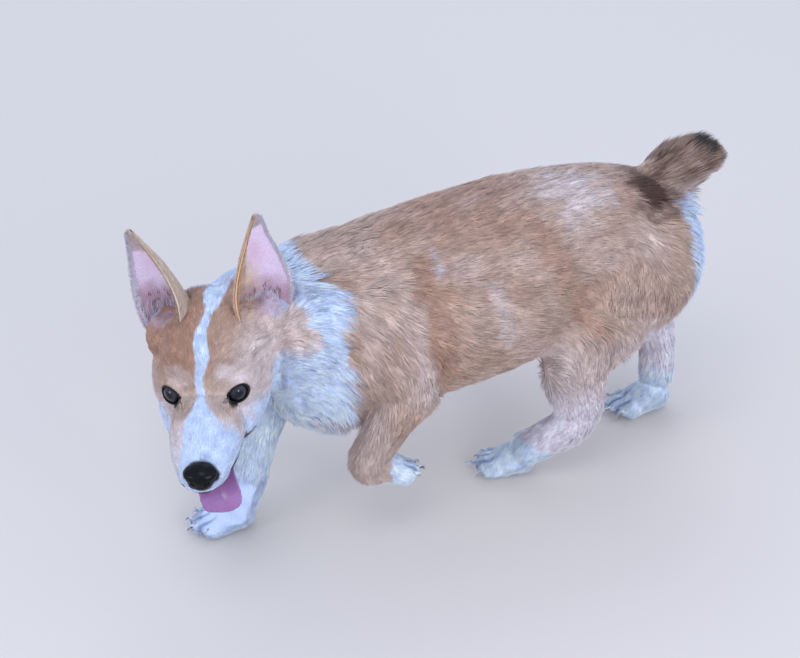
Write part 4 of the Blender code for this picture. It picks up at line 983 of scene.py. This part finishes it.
def ear_hair(name, rings, side, place, axis, front, coat_look):
    """Short hair on the ear's back, a fringe on its rim and longer pale hair inside its base."""
    rng = np.random.default_rng(31 + side)
    grid = np.array(rings)
    rows, columns = grid.shape[0], grid.shape[1] // 2
    roots, normals, slopes, ways, lengths, colours = [], [], [], [], [], []

    def take(count, inside, low, high, edge, length, colour, outward, margin=0):
        v = rng.uniform(low, high, count) * (rows - 1.001)
        t = rng.uniform(-1, 1, count)
        t = -side * margin * np.abs(t) if margin else t
        t = np.sign(t) * (edge + (1 - edge) * np.abs(t)) if edge else t
        c = (t + 1) / 2 * (columns - 1.001)
        i, j = v.astype(int), c.astype(int)
        column = j if inside else 2 * columns - 1 - j
        step = 1 if inside else -1
        a, b = grid[i, column], grid[i, column + step]
        low_edge = a + (b - a) * (c - j)[:, None]
        d, e = grid[i + 1, column], grid[i + 1, column + step]
        high_edge = d + (e - d) * (c - j)[:, None]
        root = low_edge + (high_edge - low_edge) * (v - i)[:, None]
        along, over = high_edge - low_edge, b - a
        along /= np.linalg.norm(along, axis=1)[:, None]
        over /= np.maximum(np.linalg.norm(over, axis=1), 1e-9)[:, None]
        normal = np.cross(along, over)
        normal /= np.maximum(np.linalg.norm(normal, axis=1), 1e-9)[:, None]
        normal *= np.sign((normal @ front) * (1 if inside else -1))[:, None]
        sideways = over * (np.sign(t) * (1 if inside else 1) * outward * np.abs(t) ** 2)[:, None] * step
        way = along + sideways + rng.normal(0, 0.12, (count, 3))
        way -= normal * (way * normal).sum(1)[:, None]
        way /= np.linalg.norm(way, axis=1)[:, None]
        at_rim = ramp(np.abs(t), 0.65, 0.95)[:, None]
        roots.append(root)
        normals.append(normal)
        slopes.append(normal * (1 - 0.75 * at_rim) + at_rim * (0, 0, 1.0))
        ways.append(way)
        lengths.append(length * rng.uniform(0.7, 1.25, count))
        colours.append(np.tile(colour, (count, 1)) * rng.normal(1, 0.07, (count, 1)))

    take(5500, False, 0.10, 0.950, 0.0, 0.0050, EAR_TAN, 0.3)
    # On the left ear the rim hair on its back, toward the head's middle, carries the painted glow of light through its
    # edge
    take(1600, False, 0.10, 0.950, 0.5, 0.0046, EAR_GLOW_ORANGE if side > 0 else EAR_TAN, 0.5, 1)
    if side > 0:
        # Painted glow of light through the ear's edge, on the rim hair inside
        take(2000, True, 0.04, 0.950, 0.45, 0.0046, EAR_GLOW_ORANGE, 0.5, 1)
        take(1300, True, 0.04, 0.960, 0.22, 0.0046, EAR_TAN, 0.4, 1)
        take(500, True, 0.84, 0.955, 0.0, 0.0040, PALE, 0.4)
        take(400, True, 0.02, 0.20, 0.0, 0.0105, (0.90, 0.90, 0.95), -0.3)
    else:
        take(1800, True, 0.06, 0.950, 0.50, 0.0048, EAR_TAN, 0.5, 1)
        take(1400, True, 0.06, 0.950, 0.05, 0.0048, EAR_TAN, 0.4, 1)
        take(900, True, 0.70, 0.955, 0.0, 0.0042, PALE, 0.4)
        take(400, True, 0.02, 0.18, 0.0, 0.0090, (0.86, 0.78, 0.82), -0.3)
    take(1300, True, 0.06, 0.950, 0.84, 0.0040, (0.93, 0.88, 0.93), 0.6, -1)
    # Dark tufts low inside the ear: painted shade in the crevices of its base
    take(130, True, 0.08, 0.28, 0.0, 0.0070, DARK, -0.2)
    root, normal, way = np.vstack(roots), np.vstack(normals), np.vstack(ways)
    length, colour = np.concatenate(lengths), np.clip(np.vstack(colours), 0.02, 0.97)
    slope = np.vstack(slopes)
    slope /= np.linalg.norm(slope, axis=1)[:, None]
    count = len(root)
    turn = np.array(place)[:3, :3]
    number = 4 if side > 0 else 5
    spread = (root - root.min(0)) @ np.stack([np.cross(axis, front), axis], 1)
    uv = np.array(((number % 10) * 0.1, 0.4)) + 0.004 + np.abs(spread) * 0.75
    mesh = tuft_mesh("coat_" + name, moved(root, place), normal @ turn.T, way @ turn.T, length,
                     np.full(count, 0.00042), np.radians(rng.uniform(5, 16, count)), rng.normal(0, 0.1, count),
                     colour * 0.9, colour, uv, slope @ turn.T)
    finish_piece(link("coat_" + name, mesh), coat_look, "ear")


def eye_material():
    """A very dark iris round a black pupil, wet all over."""
    material, nodes, links = new_material("eyeball")
    shader = nodes["Principled BSDF"]
    where = nodes.new("ShaderNodeTexCoord")
    apart = nodes.new("ShaderNodeSeparateXYZ")
    links.new(where.outputs["Object"], apart.inputs["Vector"])
    flat = nodes.new("ShaderNodeCombineXYZ")
    links.new(apart.outputs["X"], flat.inputs["X"])
    links.new(apart.outputs["Y"], flat.inputs["Y"])
    reach = nodes.new("ShaderNodeVectorMath")
    reach.operation = "LENGTH"
    links.new(flat.outputs["Vector"], reach.inputs[0])
    stops = nodes.new("ShaderNodeValToRGB")
    scale = nodes.new("ShaderNodeMath")
    scale.operation = "DIVIDE"
    scale.inputs[1].default_value = EYE_RADIUS
    links.new(reach.outputs["Value"], scale.inputs[0])
    links.new(scale.outputs["Value"], stops.inputs["Fac"])
    bands = [(0.0, (0.001, 0.001, 0.002)), (0.22, (0.001, 0.001, 0.002)), (0.30, (0.014, 0.015, 0.023)),
             (0.52, (0.026, 0.028, 0.042)), (0.64, (0.002, 0.002, 0.003)), (0.80, (0.010, 0.009, 0.010)),
             (1.0, (0.06, 0.05, 0.05))]
    ramp_data = stops.color_ramp
    while len(ramp_data.elements) < len(bands):
        ramp_data.elements.new(0.5)
    for element, (place, colour) in zip(ramp_data.elements, bands):
        element.position = place
        element.color = (*colour, 1)
    fibres = nodes.new("ShaderNodeTexNoise")
    fibres.inputs["Scale"].default_value = 900
    links.new(where.outputs["Object"], fibres.inputs["Vector"])
    tone = nodes.new("ShaderNodeMapRange")
    tone.inputs["To Min"].default_value = 0.5
    tone.inputs["To Max"].default_value = 1.5
    links.new(fibres.outputs["Fac"], tone.inputs["Value"])
    scaled = nodes.new("ShaderNodeVectorMath")
    scaled.operation = "SCALE"
    links.new(stops.outputs["Color"], scaled.inputs[0])
    links.new(tone.outputs["Result"], scaled.inputs["Scale"])
    links.new(scaled.outputs["Vector"], shader.inputs["Base Color"])
    shader.inputs["Roughness"].default_value = 0.25
    shader.inputs["Specular IOR Level"].default_value = 0.04
    shader.inputs["Coat Weight"].default_value = 0.65
    shader.inputs["Coat Roughness"].default_value = 0.02
    return material


def make_eye(name, side, place, look, rim_look):
    """An eyeball with a raised cornea, and the dark leathery edge of its lids."""
    work = bmesh.new()
    bmesh.ops.create_uvsphere(work, u_segments=64, v_segments=48, radius=EYE_RADIUS - 0.0001)
    mesh = bpy.data.meshes.new(name)
    work.to_mesh(mesh)
    work.free()
    points = coordinates(mesh)
    lean = np.arccos(np.clip(points[:, 2] / np.linalg.norm(points, axis=1), -1, 1))
    points *= (1 + 0.07 * np.exp(-(lean / 0.50) ** 2))[:, None]
    set_coordinates(mesh, points)
    smooth_shade(mesh)
    ball = link(name + "_ball", mesh)
    ball.matrix_world = place @ eye_frame(side)
    finish_piece(ball, look, "eye", name)
    x, y = almond_line(96, side, 0.0002)
    centre = np.stack([x, y, np.sqrt(np.maximum((EYE_RADIUS + 0.0006) ** 2 - x * x - y * y, 1e-8))], 1)
    along = np.roll(centre, -1, 0) - np.roll(centre, 1, 0)
    along /= np.linalg.norm(along, axis=1)[:, None]
    up = centre / np.linalg.norm(centre, axis=1)[:, None]
    out = np.cross(along, up)
    turn = np.linspace(0, 2 * math.pi, 10, endpoint=False)
    tube = centre[:, None] + 0.0009 * (np.cos(turn)[None, :, None] * out[:, None]
                                       + 0.9 * np.sin(turn)[None, :, None] * up[:, None])
    faces = []
    for i in range(96):
        for k in range(10):
            a, b = i * 10 + k, i * 10 + (k + 1) % 10
            c, d = (i + 1) % 96 * 10 + (k + 1) % 10, (i + 1) % 96 * 10 + k
            faces += [(a, b, c), (a, c, d)]
    rim = mesh_from(name + "_lid_edge", moved(tube.reshape(-1, 3), place @ eye_frame(side)), np.array(faces))
    facing_out(rim)
    smooth_shade(rim)
    finish_piece(link(name + "_lid_edge", rim), rim_look, "eye")


def make_nose(nodes, look):
    nose = voxels(welded([nodes["nose_pad"]], "nose_leather"), 0.0005)
    relax(nose.data, 1.0, 5, 1.0)
    smooth_shade(nose.data)
    finish_piece(nose, look, "nose", "nose_pad")


def make_tongue(nodes, look):
    tongue = voxels(welded([nodes["tongue"]], "tongue_flesh"), 0.0007)
    relax(tongue.data, 1.0, 14, 1.0)
    smooth_shade(tongue.data)
    finish_piece(tongue, look, "tongue", "tongue")


def paw_frame(at, heading, pitch, trunk):
    yaw = Matrix.Rotation(math.radians(180 - heading), 4, "Z")
    return Matrix.Translation(Vector(at) + Vector(trunk)) @ yaw @ Matrix.Rotation(math.radians(pitch), 4, "Y")


def make_claws(trunk, look):
    """Four short curved claws on each paw."""
    for name, (at, heading, pitch, length, half) in PAWS.items():
        every, faces_of_all, count = [], [], 0
        for share, spread, reach in TOES:
            toe = (paw_frame(at, heading, pitch, trunk)
                   @ Matrix.Translation((length * (reach - 0.22), share * half, 0))
                   @ Matrix.Rotation(math.radians(spread), 4, "Z") @ Matrix.Translation((length * 0.155, 0, 0)))
            turn = np.linspace(0, 2 * math.pi, 12, endpoint=False)
            rings = [np.stack([np.full(12, x), size * 0.85 * np.cos(turn), z + size * np.sin(turn)], 1)
                     for x, z, size in CLAW]
            points, faces = skin_rings(rings, ((-0.001, 0, 0.0002), (0.0036, 0, -0.0019)))
            every.append(moved(points, toe))
            faces_of_all.append(faces + count)
            count += len(points)
        mesh = mesh_from("claws", np.vstack(every), np.vstack(faces_of_all))
        facing_out(mesh)
        smooth_shade(mesh)
        finish_piece(link("claws_" + name, mesh), look, "nose")


def make_floor():
    bpy.ops.mesh.primitive_plane_add(size=8, location=(0, 0, 0))
    floor = bpy.context.object
    floor.name = "floor"
    material, nodes, links = new_material("floor")
    shader = nodes["Principled BSDF"]
    shader.inputs["Base Color"].default_value = (0.66, 0.59, 0.53, 1)
    shader.inputs["Roughness"].default_value = 0.9
    floor.data.materials.append(material)


def make_light(name, azimuth, elevation, distance, size, power, colour):
    lamp = bpy.data.lights.new(name, "AREA")
    lamp.shape = "DISK"
    lamp.size = size
    lamp.energy = power
    lamp.color = colour
    made = link(name, lamp)
    a, e = math.radians(azimuth), math.radians(elevation)
    away = Vector((math.sin(a) * math.cos(e), -math.cos(a) * math.cos(e), math.sin(e)))
    made.location = Vector((0, 0, 0.15)) + away * distance
    made.rotation_mode = "QUATERNION"
    made.rotation_quaternion = away.to_track_quat("Z", "Y")


def make_studio():
    world = bpy.data.worlds.new("studio")
    bpy.context.scene.world = world
    world.use_nodes = True
    sky = world.node_tree.nodes["Background"]
    sky.inputs["Color"].default_value = (0.64, 0.75, 1.0, 1)
    sky.inputs["Strength"].default_value = 1.16
    make_light("key", -42, 60, 2.2, 1.2, 9.5, (0.90, 0.95, 1.0))
    make_light("front", 2, 20, 2.4, 0.8, 14, (0.88, 0.94, 1.0))
    make_light("side", -80, 12, 2.2, 0.7, 8, (0.88, 0.94, 1.0))
    make_light("fill", 40, 30, 2.6, 2.0, 4, (0.86, 0.94, 1.0))
    make_light("rim", 150, 45, 2.4, 1.2, 7, (0.92, 0.97, 1.0))
    bpy.context.scene.view_settings.view_transform = "Standard"


def make_camera(trunk):
    a, e = math.radians(CAMERA_AZIMUTH), math.radians(CAMERA_ELEVATION)
    back = Vector((math.sin(a) * math.cos(e), -math.cos(a) * math.cos(e), math.sin(e)))
    camera = link("camera", bpy.data.cameras.new("camera"))
    camera.data.lens, camera.data.sensor_width = CAMERA_LENS, CAMERA_SENSOR
    camera.location = Vector(CAMERA_AIM) + Vector(trunk) + back * CAMERA_DISTANCE
    camera.rotation_mode = "QUATERNION"
    camera.rotation_quaternion = back.to_track_quat("Z", "Y")
    bpy.context.scene.camera = camera


def main():
    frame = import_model()
    nodes = frame["nodes"]
    place = head_matrix()
    trunk = np.array(place.translation) - HEAD_AT
    skin = make_skin(nodes, place, trunk)
    points, normals = coordinates(skin.data), vertex_normals(skin.data)
    colour_attribute(skin.data, markings(points, normals, place, trunk))
    finish_piece(skin, coat_material("skin", 0.95, 0.7, 900, 0.4), "tan_coat", *FLESH)
    lie, region = lie_of(skin.data, place, trunk)
    coat_look = coat_material("coat", 1.0, 0.62, 1500, 0.0)
    grow_coat(skin, place, trunk, lie, region, coat_look)
    ear_look = coat_material("ear_skin", 1.0, 0.55, 700, 0.3)
    for side, name in ((1, "ear_left"), (-1, "ear_right")):
        make_ear(name, side, place, ear_look, coat_look)
    eye_look = eye_material()
    rim_look = wet_material("lid_edge", (0.06, 0.055, 0.07), 0.40, 900, 0.2, 0.1, 0.2)
    for side, name in ((1, "eye_left"), (-1, "eye_right")):
        make_eye(name, side, place, eye_look, rim_look)
    make_nose(nodes, wet_material("nose_leather", (0.025, 0.027, 0.036), 0.35, 1100, 0.4, 0.16, 0.08))
    make_tongue(nodes, wet_material("tongue", (0.660, 0.450, 0.670), 0.40, 1400, 0.25, 0.30))
    make_claws(trunk, wet_material("claw", (0.74, 0.68, 0.68), 0.40, 500, 0.1, 0.1))
    make_floor()
    make_studio()
    make_camera(trunk)


main()
